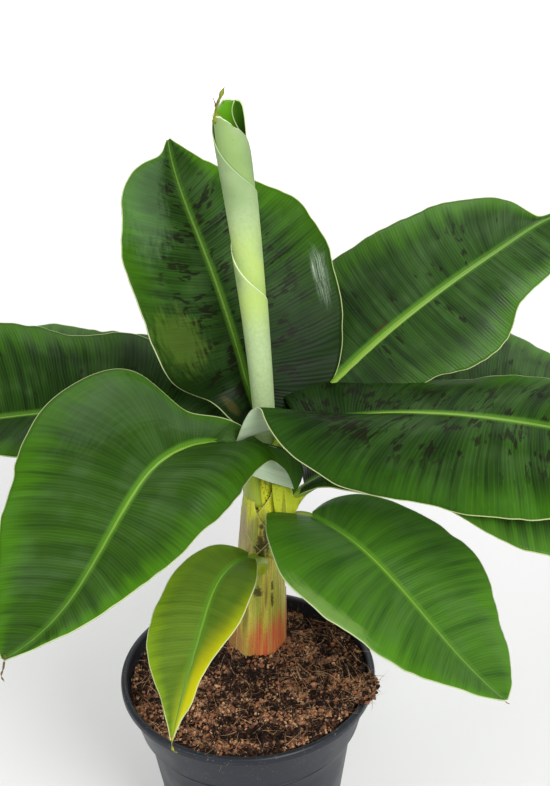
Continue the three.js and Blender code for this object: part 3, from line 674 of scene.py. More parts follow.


# Dark and deep green by streaks and by bands of painted fold shade; painted sheen in clouds, painted light
# shining through towards the margin, pale vein lines and painted shade towards the base; then blotches,
# patches, some of them painted sheen, a light strip at the midrib, a pale rim and underside.
def bladeMaterial(name, look):
    material, tree = newMaterial(name, Specular_IOR_Level=look["gloss"])
    place, share = pointValue(tree, "leafPlace"), pointValue(tree, "leafShare")
    _, y, under = separate(tree, place)
    u, t, edge = separate(tree, share)
    reach = calc(tree, "ABSOLUTE", t)
    veins = useGroup(tree, sideVeins, {"Place": place, "Spacing": blade["veinSpacing"]})
    streaks, bands = veins["Streaks"], veins["Bands"]
    # the leaf's own streaks, mixed with painted fold shade from the bands
    streaksAndFoldShade = calc(tree, "MULTIPLY_ADD", streaks, 0.5, times(tree, bands, 0.5))
    clouds = ramp(tree, noise(tree, place, look["cloudScale"]), *look["clouds"])
    # painted sheen: grey-green in clouds along the streaks
    paintedSheen = times(tree, clouds, ramp(tree, streaks, *look["sheenStreaks"], 0.25, 1.0))
    paintedSheen = times(tree, paintedSheen, look["sheenAmount"])
    # painted light shining through the leaf, stronger towards the margin
    outwards = calc(tree, "MULTIPLY_ADD", calc(tree, "SUBTRACT", streaks, 0.5), 0.5, reach)
    marginGlow = times(tree, ramp(tree, outwards, *look["marginGlowReach"]), look["marginGlowAmount"])
    # painted shade towards the base of the blade
    fromBase = calc(tree, "MULTIPLY_ADD", reach, -0.2, u)
    finish = mixColour(tree, ramp(tree, streaksAndFoldShade, *look["streakAndFoldShadeRange"]), look["dark"], look["deep"])
    finish = layered(tree, finish, (paintedSheen, look["sheenAndUnderStreaks"]), (marginGlow, look["marginGlow"]),
                     (times(tree, veins["Lines"], times(tree, bands, 0.2)), look["pale"]),
                     (ramp(tree, fromBase, *look["shadedBase"], look["shade"], 0.0), look["dark"]))
    if look["blotches"] > 0:
        spots = useGroup(tree, veinBlotches, {"Place": place, "Amount": look["blotches"]})["Mask"]
        spots = times(tree, spots, ramp(tree, reach, *look["blotched"], 1.0, 0.15))
        finish = mixColour(tree, times(tree, spots, 0.8), finish, look["blotch"])
    if "tip" in look:
        tipped = ramp(tree, calc(tree, "MULTIPLY_ADD", t, look["tipSide"], u), *look["tipped"])
        finish = mixColour(tree, tipped, finish, look["tip"])
    for u0, t0, long, wide, ragged, strength, tint, *grain in look["patches"]:
        sockets = {"Share": share, "Centre": (u0, t0, 0), "Size": (long, wide, 1), "Ragged": ragged}
        mask = times(tree, useGroup(tree, softPatch, sockets)["Mask"], strength)
        if grain:
            scratches = noise(tree, scaled(tree, (u, t, 0.0), (*grain, 1.0)))
            mask = times(tree, mask, ramp(tree, scratches, *look["scratched"]))
        finish = mixColour(tree, mask, finish, tint)
    besideRib = ramp(tree, calc(tree, "ABSOLUTE", y), *look["besideRib"], 0.8, 0.0)
    besideRib = times(tree, besideRib, ramp(tree, u, 0.25, 1.0, 1.0, 0.35))
    below = mixColour(tree, times(tree, streaks, 0.5), look["under"], look["sheenAndUnderStreaks"])
    finish = layered(tree, finish, (besideRib, look["ribSide"]),
                     (ramp(tree, edge, *look["rim"], 0.95, 0.0), look["edge"]), (under, below))
    roughness = ramp(tree, streaks, 0.25, 0.75, *look["roughness"])
    roughness = calc(tree, "MULTIPLY_ADD", under, 0.25, roughness)
    return dress(material, finish, veins["Height"], *look["relief"], roughness)


# Where the base of the front left blade turns over: shares along its margin, and from its midrib to the
# margin at its base. A fold closes the margin's loop and a web closes its throat.
turnedBase = {
    "fold": ((0.105, 0.2), (0.095, 0.004)),
    "foldBulge": 0.0016,
    "web": ((0.0, -0.42), (0.0, 0.95)),
    "webBulge": 0.0004,
    "points": 40,
    "steps": 24,
    "thickness": 0.0006,
    "patternAt": (0.4, 0.004),  # place on a blade's pattern, along and out from the midrib
    "patternWidth": 0.03,
    "shares": (0.5, 0.4, 0.002),  # along and out, and metres in from the margin, for its colours
}


# A thin sheet of straight lines across from one edge to another, raised between them by a sine; under is
# 1 where it shows the pale side.
def webSkin(near, far, bulge, under):
    across = np.linspace(0, 1, turnedBase["steps"])
    sheet = between(near[:, None], far[:, None], across[:, None])
    normals = gridNormals(sheet)
    sheet = sheet + normals * (bulge * np.sin(np.pi * across))[:, None]
    shape = sheet.shape[:2]
    rim = np.linspace(1, 0, len(near))[:, None] * np.linalg.norm(near[-1] - near[0])
    x, y = turnedBase["patternAt"]
    u, t, edge = turnedBase["shares"]
    attributes = {"leafPlace": forShell(shape, x + rim, across * turnedBase["patternWidth"] + y, under),
                  "leafShare": forShell(shape, u, t, edge + rim)}
    half = turnedBase["thickness"] / 2
    return shellSkin(sheet + normals * half, sheet - normals * half), attributes


# Points along an edge of a blade between two shares.
def edgeOf(points, shares, start, end):
    where = np.linspace(start, end, turnedBase["points"])
    order = np.argsort(shares)
    return np.stack([np.interp(where, shares[order], points[order, k]) for k in range(3)], -1)


# A stalk and the midrib that it runs on into: an oval bar, deepest at the trunk, with a channel on top
# that closes towards the tip.
stalk = {
    "footWidth": 0.0075, "bladeWidth": 0.0046, "tipWidth": 0.0004,  # half widths
    "footDepth": 0.0044, "bladeDepth": 0.0038, "tipDepth": 0.0004,
    "inset": 0.005,
    "pull": 0.4,
    "rows": 26,
    "ribRows": 120,
    "sides": 24,
    "girth": 0.028,  # round the bar, for its pattern
    "swelling": (0.12, 0.3),  # how much wider it is at its foot, and over what share of its length
    "dentWidth": 0.5,  # of the channel, as a share of the half width
    "stalkChannel": 0.62,  # depth of the channel, as a share of the half depth
    "ribChannel": 0.22,
    "proud": 0.0008,  # how far the midrib stands above the blade
}

trunk = {
    "foot": (0.006, 0.034, 0.140),
    "top": (0.016, 0.032, 0.300),
    "radii": [0.020, 0.0186, 0.0178, 0.017, 0.0162, 0.015, 0.0134, 0.011, 0.008],
    "coreInset": 0.0034,  # how far the core lies within the sheaths
    "below": 0.004,  # how far it reaches into the peat
    "girth": 0.1,  # round it, for its map
    "pattern": 0.016,  # radius that turns a direction into metres round the trunk
    "rows": 120,
    "columns": 96,
}


# How far up the trunk a height is, from 0 at its foot to 1 at its top.
def trunkShare(z):
    return (np.asarray(z, float) - trunk["foot"][2]) / (trunk["top"][2] - trunk["foot"][2])


# Middle of the trunk at a height: on the straight line from its foot to its top.
def trunkAxis(z):
    return between(np.array(trunk["foot"]), np.array(trunk["top"]), trunkShare(z)[..., None])


# Radius of the trunk at a height, read from its list.
def trunkRadius(z):
    return along(trunk["radii"], trunkShare(z))


# Direction from the trunk's middle to where a leaf starts.
def leafAngle(leaf):
    axis = trunkAxis(leaf["node"])
    return np.arctan2(leaf["start"][1] - axis[1], leaf["start"][0] - axis[0])


# Points and directions of a stalk: a cubic curve that leaves the trunk upright and meets the midrib in line.
def stalkPath(leaf, rows):
    angle = leafAngle(leaf)
    out = np.array([np.cos(angle), np.sin(angle), 0])
    foot = trunkAxis(leaf["node"]) + out * (trunkRadius(leaf["node"]) - stalk["inset"])
    end = np.array(leaf["start"])
    forward, side, _ = leafFrame(float(leaf["rise"][0]), float(leaf["heading"][0]))
    pull = stalk["pull"] * np.linalg.norm(end - foot)
    knots = [foot, foot + [0, 0, pull], end - pull * forward, end]
    s = np.linspace(0, 1, rows)[:, None]
    points = sum(w * k for w, k in zip(((1 - s)**3, 3 * s * (1 - s)**2, 3 * s**2 * (1 - s), s**3), knots))
    ahead = unit(np.gradient(points, axis=0))
    footSide = np.array([np.sin(angle), -np.cos(angle), 0])
    across = between(footSide, side, s)
    across = unit(across - (across * ahead).sum(-1, keepdims=True) * ahead)
    return s[:, 0], points, across, np.cross(across, ahead)


# Rings of the bar round stalk and midrib. Section: an oval whose top sinks by a bell curve in its middle.
def ribSkin(leaf):
    s, stalkPoints, stalkSide, stalkUp = stalkPath(leaf, stalk["rows"])
    share, spine, _, side, up = midrib(leaf, stalk["ribRows"])
    s = s[:-1]
    points = np.concatenate([stalkPoints[:-1], spine])
    across = np.concatenate([stalkSide[:-1], side])
    above = np.concatenate([stalkUp[:-1], up])
    toTip = (1 - share) ** 0.85
    width = np.concatenate([between(stalk["footWidth"], stalk["bladeWidth"], np.sqrt(s)),
                            between(stalk["tipWidth"], stalk["bladeWidth"] * 0.8, toTip)])
    swelling, swollen = stalk["swelling"]
    width = width * (1 + swelling * (1 - smoothStep(np.linspace(0, 1, len(width)), 0, swollen)))
    depth = np.concatenate([between(stalk["footDepth"], stalk["bladeDepth"], s),
                            between(stalk["tipDepth"], stalk["bladeDepth"], toTip)])
    proud = stalk["proud"] * np.concatenate([np.ones(len(s)), 0.25 + 0.75 * (1 - share)])
    sink = np.concatenate([smoothStep(s, 0.3, 1), np.ones(len(share))]) * (depth - proud)
    channel = np.concatenate([between(stalk["stalkChannel"], stalk["ribChannel"], smoothStep(s, 0.5, 1)),
                              stalk["ribChannel"] * (1 - share)])
    turn = fullTurn(stalk["sides"])
    sideways = width[:, None] * np.cos(turn)
    dent = np.exp(-((np.cos(turn) / stalk["dentWidth"]) ** 2)) * (np.sin(turn) > 0)
    dent = channel[:, None] * depth[:, None] * dent
    upwards = depth[:, None] * np.sin(turn) - dent - sink[:, None]
    rings = points[:, None] + across[:, None] * sideways[..., None] + above[:, None] * upwards[..., None]
    heights = np.concatenate([[0], np.cumsum(np.linalg.norm(np.diff(points, axis=0), axis=1))])
    ripeness = np.concatenate([s - 1, share])  # below 0 on the stalk, 0 to 1 along the midrib
    ripeness = np.concatenate([np.repeat(ripeness, stalk["sides"]), [-1, 1]])
    value = np.stack([ripeness, 0 * ripeness, 0 * ripeness], -1)
    return tubeSkin(rings, stalk["girth"], heights), {"ribShare": value}


ribLook = {
    "stalk": colour(184, 200, 48),
    "stalkDark": colour(142, 164, 40),
    "rib": colour(124, 166, 48),
    "ribTip": colour(74, 124, 40),
    "mauve": colour(150, 136, 116),
}


# Light and dark stalk by broad fibres, running over into the midrib's green, with mauve at the foot.
def ribMaterial():
    material, tree = newMaterial("leafRib", Specular_IOR_Level=0.4, Roughness=0.42)
    place = addNode(tree, "UVMap", uv_map="skinMap").outputs[0]
    share = separate(tree, pointValue(tree, "ribShare"))[0]
    fibres = useGroup(tree, stemFibres, {"Place": place, "Fineness": 2600.0})
    fine, broad = fibres["Fine"], fibres["Broad"]
    stalkTint = mixColour(tree, ramp(tree, broad, 0.35, 0.65), ribLook["stalkDark"], ribLook["stalk"])
    ribTint = mixColour(tree, ramp(tree, share, 0.1, 0.95), ribLook["rib"], ribLook["ribTip"])
    mauve = times(tree, ramp(tree, share, -1.0, -0.6, 1.0, 0.0), ramp(tree, broad, 0.4, 0.6))
    finish = layered(tree, stalkTint, (ramp(tree, share, -0.25, 0.05), ribTint),
                     (times(tree, fine, 0.35), ribLook["stalkDark"]),
                     (times(tree, mauve, 0.5), ribLook["mauve"]))
    return dress(material, finish, fine, 0.25, 0.0004)


leafRib = ribMaterial()
leafTips = {}
for number, (name, leaf) in enumerate(leaves.items()):
    top, bottom, values = bladePoints(leaf, blade["seed"] + 10 * number)
    leafTips[name] = top[-1, top.shape[1] // 2]
    shape, x = top.shape[:2], values["x"] + blade["patternStep"] * number
    attributes = {"leafPlace": forShell(shape, x, values["y"], (0.0, 1.0)),
                  "leafShare": forShell(shape, values["u"], values["t"], values["edge"])}
    material = bladeMaterial("leaf_" + name, {**bladeLook, **leaf.get("look", {})})
    slot = "young_blade" if name == "small" else "blade"
    addPiece("leaf_" + name, shellSkin(top, bottom), material, ["blade_" + name], attributes)
    if name == "frontLeft":
        u, t = values["u"][:, 1], values["t"][0]
        fold = [edgeOf(bottom[:, 1], u, *ends) for ends in turnedBase["fold"]]
        skin, attributes = webSkin(*fold, turnedBase["foldBulge"], 1.0)
        addPiece("leaf_frontLeft_fold", skin, material, ["blade_" + name], attributes)
        web = [edgeOf(top[1], t, *ends) for ends in turnedBase["web"]]
        skin, attributes = webSkin(*web, turnedBase["webBulge"], 0.0)
        addPiece("leaf_frontLeft_web", skin, material, ["blade_" + name], attributes)
    skin, attributes = ribSkin(leaf)
    addPiece("rib_" + name, skin, leafRib, ["stalk_" + name], attributes)
print("leaves made:", len(leaves))


# Trunk: a core and the sheaths of the leaves round it, the oldest outermost

sheath = {
    "reach": 0.100,  # how far down below its leaf's node a sheath comes out of the trunk
    "above": 0.004,  # how far above the node it ends
    "below": 0.003,  # how far the lowest start below the trunk's foot
    "mouthDrop": 0.046,  # length over which it narrows to the stalk
    "foldAngle": 150,  # half angle that it wraps round the trunk, in degrees
    "stalkAngle": 27,
    "thickness": 0.0015,
    "edge": 0.0003,
    "proud": 0.0006,  # how far the oldest stands out of the trunk
    "layer": 0.00035,  # how much deeper each younger sheath lies
    "mouthProud": 0.0002,  # how far each stands out at its top
    "settle": 0.04,  # length over which it comes to that
    "uneven": 0.0004,
    "oldPattern": 20,  # where the old ones read their pattern
    "seed": 41,
    "rows": 60,
    "columns": 36,
}

oldSheaths = [  # cut bases of lost leaves: degrees round the trunk, top, half angle and tilt of the cut
    {"name": "front", "angle": -80, "top": 0.231, "halfAngle": 56, "crown": 0.016, "proud": 0.0016},
    {"name": "rightSide", "angle": -20, "top": 0.196, "halfAngle": 70, "crown": 0.020, "proud": 0.0012},
]
oldMouth = {"drop": 0.03, "share": 0.65}  # an old sheath narrows to this share of its half angle

flare = {  # the broad foot of the stalk that leaves to the right, between two lines
    "upper": [(0.0207, 0.0225, 0.2850), (0.0308, 0.0205, 0.2838), (0.0410, 0.0190, 0.2821),
              (0.0519, 0.0185, 0.2882)],
    "lower": [(0.0235, 0.0220, 0.2560), (0.0335, 0.0195, 0.2618), (0.0393, 0.0180, 0.2735),
              (0.0494, 0.0185, 0.2867)],
    "bulge": 0.003,
    "pattern": 30,
    "speckles": 0.2,
    "bright": colour(198, 216, 34),
}

stemLook = {
    "skin": colour(226, 214, 70),
    "skinPale": colour(242, 234, 160),
    "green": colour(164, 176, 38),
    "tan": colour(196, 146, 84),
    "mauve": colour(168, 148, 130),
    "pink": colour(238, 90, 74),
    "brown": colour(58, 42, 24),
    "bright": colour(216, 222, 30),
    "speckles": 0.85,
    "specks": [(0.0019, 0.62), (0.0008, 0.5)],  # spacing and how many, coarse and fine
    # the marks are partly painted shade in the gaps between sheaths
    "marks": [  # dark marks and gaps on the front: x and z, half width and half height
        (0.0106, 0.2649, 0.0012, 0.0014), (0.0128, 0.2539, 0.0018, 0.0026), (0.0092, 0.2367, 0.0022, 0.0035),
        (0.0120, 0.2385, 0.0030, 0.0110), (0.0158, 0.2440, 0.0022, 0.0125), (0.0184, 0.2071, 0.0009, 0.0044),
        (0.0180, 0.1955, 0.0012, 0.0066), (0.0084, 0.2035, 0.0038, 0.0048),
    ],
    "markScale": 20.0,  # marks are read at a scale where their torn edges are fine
    # where a colour starts and where it is full, in metres up, across or back
    "mauveHeight": (0.215, 0.250),
    "mauveAcross": (0.012, 0.0),
    "brightHeight": (0.250, 0.268),
    "footHeight": (0.162, 0.186),
    "tanAcross": (-0.006, 0.004),
    "pinkAcross": (-0.003, 0.006),
    "front": (0.027, 0.032),
    "border": (0.955, 0.985),  # share out to a sheath's border
    "worn": (0.57, 0.7),  # of the broad fibres
}


# A sheath as two close grids: height runs up and the angle runs round. Towards its top it narrows from its
# wide half angle to its narrow one, and goes from its own layer to its mouth's. Its sides end lower than
# its middle by its crown, and its thickness runs out towards its border and top.
def sheathSkin(kind, offset):
    share = np.linspace(0, 1, sheath["rows"])[:, None]
    t = np.linspace(-1, 1, sheath["columns"])[None]
    top = kind["top"]
    z = between(kind["foot"], top - kind["crown"] * np.abs(t) ** 2.4, share)
    narrowing = smoothStep(z, top - kind["drop"], top) ** kind["power"]
    turn = kind["angle"] + t * between(kind["wide"], kind["narrow"], narrowing)
    proud = between(kind["proud"], kind["mouthProud"], smoothStep(z, top - sheath["settle"], top))
    radius = trunkRadius(z) + proud + sheath["uneven"] * noiseAt(turn * 3, z * 60, 0.0, sheath["seed"])
    thickness = between(sheath["edge"], sheath["thickness"], 1 - np.abs(t) ** 4)
    thickness = thickness * (1 - 0.7 * smoothStep(share, 0.9, 1))
    outer, inner = (trunkAxis(z) + ringPoints(r, turn, 0) for r in (radius, radius - thickness))
    return shellSkin(outer, inner), {"stemPlace": forShell(z.shape, turn * trunk["pattern"] + offset, z, t)}


# Fibrous skin from green to yellow; mauve and bright green by height, tan and pink at the foot to the left
# and right; then specks, dark marks on the front that are partly painted shade in gaps, pale borders and worn
# brown streaks.
def stemMaterial(name, look):
    material, tree = newMaterial(name, Specular_IOR_Level=0.35)
    place = pointValue(tree, "stemPlace")
    x, y, z = separate(tree, objectPlace(tree))
    fibres = useGroup(tree, stemFibres, {"Place": place, "Fineness": 1500.0})
    fine, broad = fibres["Fine"], fibres["Broad"]
    height = calc(tree, "MULTIPLY_ADD", calc(tree, "SUBTRACT", broad, 0.5), 0.05, z)
    mauve = times(tree, ramp(tree, height, *look["mauveHeight"]), ramp(tree, x, *look["mauveAcross"]))
    low = ramp(tree, height, *look["footHeight"], 1.0, 0.0)
    tan = times(tree, low, ramp(tree, x, *look["tanAcross"], 1.0, 0.0))
    pink = times(tree, times(tree, low, ramp(tree, x, *look["pinkAcross"])),
                 ramp(tree, fine, 0.3, 0.65, 1.0, 0.55))
    finish = mixColour(tree, ramp(tree, broad, 0.35, 0.65), look["green"], look["skin"])
    finish = layered(tree, finish, (ramp(tree, fine, 0.45, 0.75, 0.0, 0.6), look["skinPale"]),
                     (ramp(tree, fine, 0.5, 0.34, 0.0, 0.8), look["tan"]),
                     (times(tree, mauve, 0.75), look["mauve"]),
                     (ramp(tree, height, *look["brightHeight"], 0.0, 0.8), look["bright"]),
                     (tan, look["tan"]), (pink, look["pink"]))
    for size, amount in look["specks"]:
        marks = useGroup(tree, specks, {"Place": place, "Size": size, "Amount": amount})["Mask"]
        finish = mixColour(tree, times(tree, marks, look["speckles"]), finish, look["brown"])
    facing = ramp(tree, y, *look["front"], 1.0, 0.0)
    scale = look["markScale"]
    # dark marks on the front, partly painted shade in the gaps between sheaths
    for markAndGapShade in look["marks"]:
        markX, markZ, wide, tall = (scale * value for value in markAndGapShade)
        sockets = {"Share": scaled(tree, (x, z, 0.0), (scale, scale, 1.0)), "Centre": (markX, markZ, 0),
                   "Size": (wide, tall, 1), "Ragged": 1.6}
        mask = times(tree, useGroup(tree, softPatch, sockets)["Mask"], facing)
        finish = mixColour(tree, times(tree, mask, 0.85), finish, look["brown"])
    border = ramp(tree, calc(tree, "ABSOLUTE", separate(tree, place)[2]), *look["border"], 0.0, 0.75)
    worn = times(tree, ramp(tree, broad, *look["worn"]), 0.62)
    finish = layered(tree, finish, (border, look["skinPale"]), (worn, look["brown"]))
    return dress(material, finish, fine, 0.5, 0.0007, ramp(tree, fine, 0.3, 0.7, 0.4, 0.6))


trunkSkin = stemMaterial("trunkSkin", stemLook)
z = np.linspace(trunk["foot"][2] - trunk["below"], trunk["top"][2], trunk["rows"])
turn = fullTurn(trunk["columns"])
core = trunkAxis(z)[:, None] + ringPoints(trunkRadius(z)[:, None] - trunk["coreInset"], turn, 0)
value = np.stack(np.broadcast_arrays(turn * trunk["pattern"], z[:, None], 0.0), -1).reshape(-1, 3)
value = np.concatenate([value, [[0, z[0], 0], [0, z[-1], 0]]])
skin = tubeSkin(core, trunk["girth"], z)
addPiece("trunk_core", skin, trunkSkin, ["trunk"], {"stemPlace": value})

byAge = sorted(leaves.items(), key=lambda item: item[1]["node"])
lowest = trunk["foot"][2] - sheath["below"]
for order, (name, leaf) in enumerate(byAge):
    top = leaf["node"] + sheath["above"]
    skin, attributes = sheathSkin({
        "angle": leafAngle(leaf), "foot": max(lowest, top - sheath["reach"]), "top": top, "crown": 0,
        "wide": np.radians(sheath["foldAngle"]), "narrow": np.radians(sheath["stalkAngle"]),
        "drop": sheath["mouthDrop"], "power": 0.8,
        "proud": sheath["proud"] - sheath["layer"] * order, "mouthProud": sheath["mouthProud"],
    }, order)
    addPiece("sheath_" + name, skin, trunkSkin, ["trunk"], attributes)

for order, kind in enumerate(oldSheaths):
    wide = np.radians(kind["halfAngle"])
    skin, attributes = sheathSkin({
        **kind, "angle": np.radians(kind["angle"]), "foot": lowest, "wide": wide,
        "narrow": wide * oldMouth["share"], "drop": oldMouth["drop"], "power": 1, "mouthProud": kind["proud"],
    }, sheath["oldPattern"] + order)
    addPiece("sheath_old_" + kind["name"], skin, trunkSkin, ["trunk"], attributes)

share = np.linspace(0, 1, turnedBase["points"])
edges = [lineThrough(flare[edge], share) for edge in ("upper", "lower")]
skin, _ = webSkin(*edges, flare["bulge"], 0.0)
x, _, z = skin["points"].T
flareLook = {**stemLook, "marks": [], "speckles": flare["speckles"], "bright": flare["bright"]}
value = np.stack([x + flare["pattern"], z, 0 * x], -1)
addPiece("sheath_flare", skin, stemMaterial("flareSkin", flareLook), ["trunk"], {"stemPlace": value})
print("trunk made with", len(byAge) + len(oldSheaths), "sheaths and a flare")


# Rolled leaf: one sheet wound up, its outer edge a seam that goes round on its way up

roll = {
    "foot": (0.018, 0.036, 0.3004),
    "top": (0.0033, 0.042, 0.529),
    "bow": 0.0023,  # how far its middle stands to the right of the straight line
    "radii": [0.0067, 0.008, 0.0095, 0.011],
    "outside": 1.03,  # share of the radius at the seam
    "seam": [880, 862, 787, 565, 337, 100],  # degrees round, from the foot to the top
    "turns": 1.9,
    "topTurns": 1.12,
    "unwinds": 0.8,  # share of its height from where it does so
    "inward": 0.09,  # share of the radius lost over one turn
    "opening": 0.2,  # and that much more at the open top
    "opens": 0.9,
    "thickness": 0.0007,
    # height of the open rim from the seam inwards: high behind, cut down at the right, rising in front
    "rim": [0.0039, 0.0034, 0.002, -0.0157, -0.0109, -0.0055, -0.0014, 0.0002, -0.0014, -0.002, 0.0009,
            0.0039, 0.0034],
    "uneven": 0.0004,
    "seed": 61,
    "rows": 150,
    "columns": 116,
}

rollLook = {
    "bloom": colour(132, 158, 108),
    "bloomPale": colour(190, 212, 158),
    "young": colour(142, 176, 84),
    "youngPale": colour(182, 208, 104),
    "inside": colour(92, 156, 10),
    "insideDark": colour(56, 104, 4),
    "edge": colour(222, 234, 186),
    "brown": colour(112, 92, 40),
    # where each starts and where it is full: shares of the height, of the turns inwards, or metres
    "band": ((0.36, 0.5), (0.6, 0.75)),
    "greyTop": (0.6, 0.85),
    "deeper": (0.42, 0.56),
    "darkInside": (0.0035, 0.0095),
    "seam": ((0.0004, 0.0009), (0.62, 0.7)),
    "innerEdge": (0.99, 0.996),
    "rim": ((0.9955, 0.998), (0.72, 0.76)),
}


# Height runs up and the turn runs inward from the seam: angle = seam - turn, radius falls with the turn. The
# middle is a straight line with a parabola's bow, and the rim's height comes in towards the top.
def rollSkin():
    share = np.linspace(0, 1, roll["rows"])[:, None]
    s = np.linspace(0, 1, roll["columns"])[None]
    nearTop = smoothStep(share, roll["unwinds"], 1)
    turns = between(roll["turns"], roll["topTurns"], nearTop)
    turn = np.radians(along(roll["seam"], share)) - 2 * np.pi * turns * s
    rim = along(roll["rim"], s) + roll["uneven"] * noiseAt(s * 40, 0.0, 0.0, roll["seed"], 2)
    inward = roll["inward"] + roll["opening"] * smoothStep(share, roll["opens"], 1)
    radius = along(roll["radii"], share) * (roll["outside"] - inward * turns * s)
    foot, top = np.array(roll["foot"]), np.array(roll["top"])
    middle = between(foot, top, share[..., None])
    middle = middle + (4 * roll["bow"] * share * (1 - share))[..., None] * np.array([1.0, 0, 0])
    outer, inner = (middle + ringPoints(r, turn, rim * nearTop) for r in (radius, radius - roll["thickness"]))
    width, height = 2 * np.pi * radius * turns * s, share * np.linalg.norm(top - foot)
    attributes = {"rollPlace": forShell(turn.shape, width, height, (0.0, 1.0)),
                  "rollShare": forShell(turn.shape, s, share, 0.0)}
    return shellSkin(outer, inner), attributes


# Bloom in clouds, greener by a grain and by a pale young band in its middle; deeper inwards, with specks.
# The inside is bright and darker to the right; the seam, the inner edge and the rim are pale.
def rollMaterial(look):
    material, tree = newMaterial("rolledLeaf", Specular_IOR_Level=0.3)
    place, solid = pointValue(tree, "rollPlace"), objectPlace(tree)
    x, _, within = separate(tree, place)
    s, u, _ = separate(tree, pointValue(tree, "rollShare"))
    fine = useGroup(tree, stemFibres, {"Place": place, "Fineness": 900.0})["Fine"]
    clouds = noise(tree, solid, 34.0, detail=3.0)
    grain = noise(tree, solid, 420.0, detail=4.0, roughness=0.7)
    comes, goes = look["band"]
    band = times(tree, ramp(tree, u, *comes), ramp(tree, u, *goes, 1.0, 0.0))
    band = times(tree, band, ramp(tree, clouds, 0.35, 0.6, 0.1, 0.8))
    marks = useGroup(tree, specks, {"Place": place, "Size": 0.0012, "Amount": 0.35})["Mask"]
    toRight = ramp(tree, separate(tree, solid)[0], *look["darkInside"])
    beside, up = look["seam"]
    atSeam = times(tree, ramp(tree, x, *beside, 1.0, 0.0), ramp(tree, u, *up, 1.0, 0.3))
    up, inwards = look["rim"]
    onRim = times(tree, ramp(tree, u, *up), ramp(tree, s, *inwards, 1.0, 0.0))
    finish = mixColour(tree, ramp(tree, clouds, 0.25, 0.6), look["bloom"], look["bloomPale"])
    finish = layered(tree, finish, (ramp(tree, u, *look["greyTop"], 0.0, 0.6), look["bloom"]),
                     (times(tree, fine, 0.3), look["bloom"]),
                     (ramp(tree, grain, 0.4, 0.7, 0.0, 0.35), look["young"]), (band, look["youngPale"]),
                     (times(tree, ramp(tree, s, *look["deeper"]), 0.45), look["young"]),
                     (times(tree, marks, 0.35), look["brown"]),
                     (within, mixColour(tree, toRight, look["inside"], look["insideDark"])),
                     (atSeam, look["edge"]), (ramp(tree, s, *look["innerEdge"], 0.0, 0.7), look["edge"]),
                     (onRim, look["edge"]))
    return dress(material, finish, fine, 0.2, 0.0005, ramp(tree, fine, 0.3, 0.7, 0.5, 0.68))


skin, attributes = rollSkin()
addPiece("rolled_leaf_sheet", skin, rollMaterial(rollLook), ["rolled_leaf"], attributes)
print("rolled leaf made")


# Dried tips: thin twisted tails

driedTips = {  # lines from points in metres; those of a leaf count from the tip of its blade
    "roll": {"line": [(-0.0022, 0.037, 0.524), (-0.0032, 0.036, 0.532), (-0.0004, 0.034, 0.5405),
                      (0.0024, 0.034, 0.5467)], "width": 0.0066, "twist": 220, "skin": colour(134, 150, 44)},
    "rollKnob": {"line": [(-0.0028, 0.0345, 0.535), (-0.0036, 0.034, 0.5385), (-0.0044, 0.034, 0.5405)],
                 "width": 0.0016, "twist": 200, "skin": colour(104, 84, 44)},
    "frontLeft": {"line": [(0.0006, 0.001, 0.002), (-0.0006, -0.001, -0.005), (-0.0022, -0.003, -0.0095),
                           (-0.0004, -0.004, -0.0135)],
                  "width": 0.0026, "twist": 600, "skin": colour(96, 90, 58)},
    "lowerRight": {"line": [(-0.001, 0.0005, 0.0008), (0.0015, -0.001, -0.0016), (0.0035, -0.0015, -0.0024)],
                   "width": 0.0012, "twist": 200, "skin": colour(130, 120, 70)},
    "small": {"line": [(0, 0.001, 0.002), (-0.0003, -0.001, -0.0045), (0.0008, -0.0018, -0.0078),
                       (0.0030, -0.0020, -0.0088)],
              "width": 0.0022, "twist": 300, "skin": colour(168, 166, 40)},
}

tail = {"rows": 30, "sides": 10, "thinness": 0.3, "least": 0.0001}


# A tail: flat rings turned round a curved line, widest low down and running out at the end by a power.
def tailSkin(line, width, twist):
    share = np.linspace(0, 1, tail["rows"])
    middle = lineThrough(line, share)
    ahead = unit(np.gradient(middle, axis=0))
    across = unit(np.cross(ahead, [0.2, 1.0, 0.1]))
    above = np.cross(ahead, across)
    swing = np.radians(twist) * share[:, None]
    flat = across * np.cos(swing) + above * np.sin(swing)
    thin = tail["thinness"] * np.cross(ahead, flat)
    half = width / 2 * (1 - share) ** 0.6 * (0.75 + 0.25 * np.sin(share * 17)) + tail["least"]
    turn = fullTurn(tail["sides"])[:, None]
    rings = flat[:, None] * np.cos(turn) + thin[:, None] * np.sin(turn)
    return tubeSkin(middle[:, None] + half[:, None, None] * rings, 0.01, share * 0.02)


# The tail's own colour, browner by a fine noise.
def tailMaterial(name, skin):
    material, tree = newMaterial(name, Specular_IOR_Level=0.25, Roughness=0.7)
    fine = noise(tree, objectPlace(tree), 900.0, detail=3.0)
    darker = mixColour(tree, 0.65, skin, rollLook["brown"])
    return dress(material, mixColour(tree, ramp(tree, fine, 0.4, 0.6), darker, skin), fine, 0.5, 0.0005)


for name, tip in driedTips.items():
    start, slot, node = np.zeros(3), "rolled_leaf", "rolled_leaf"
    if name in leaves:
        start, node = leafTips[name], "blade_" + name
        slot = "young_blade" if name == "small" else "blade"
    skin = tailSkin(np.array(tip["line"]) + start, tip["width"], tip["twist"])
    addPiece("dried_tip_" + name, skin, tailMaterial("driedTip_" + name, tip["skin"]), [node])
print("dried tips made:", len(driedTips))


# Pot

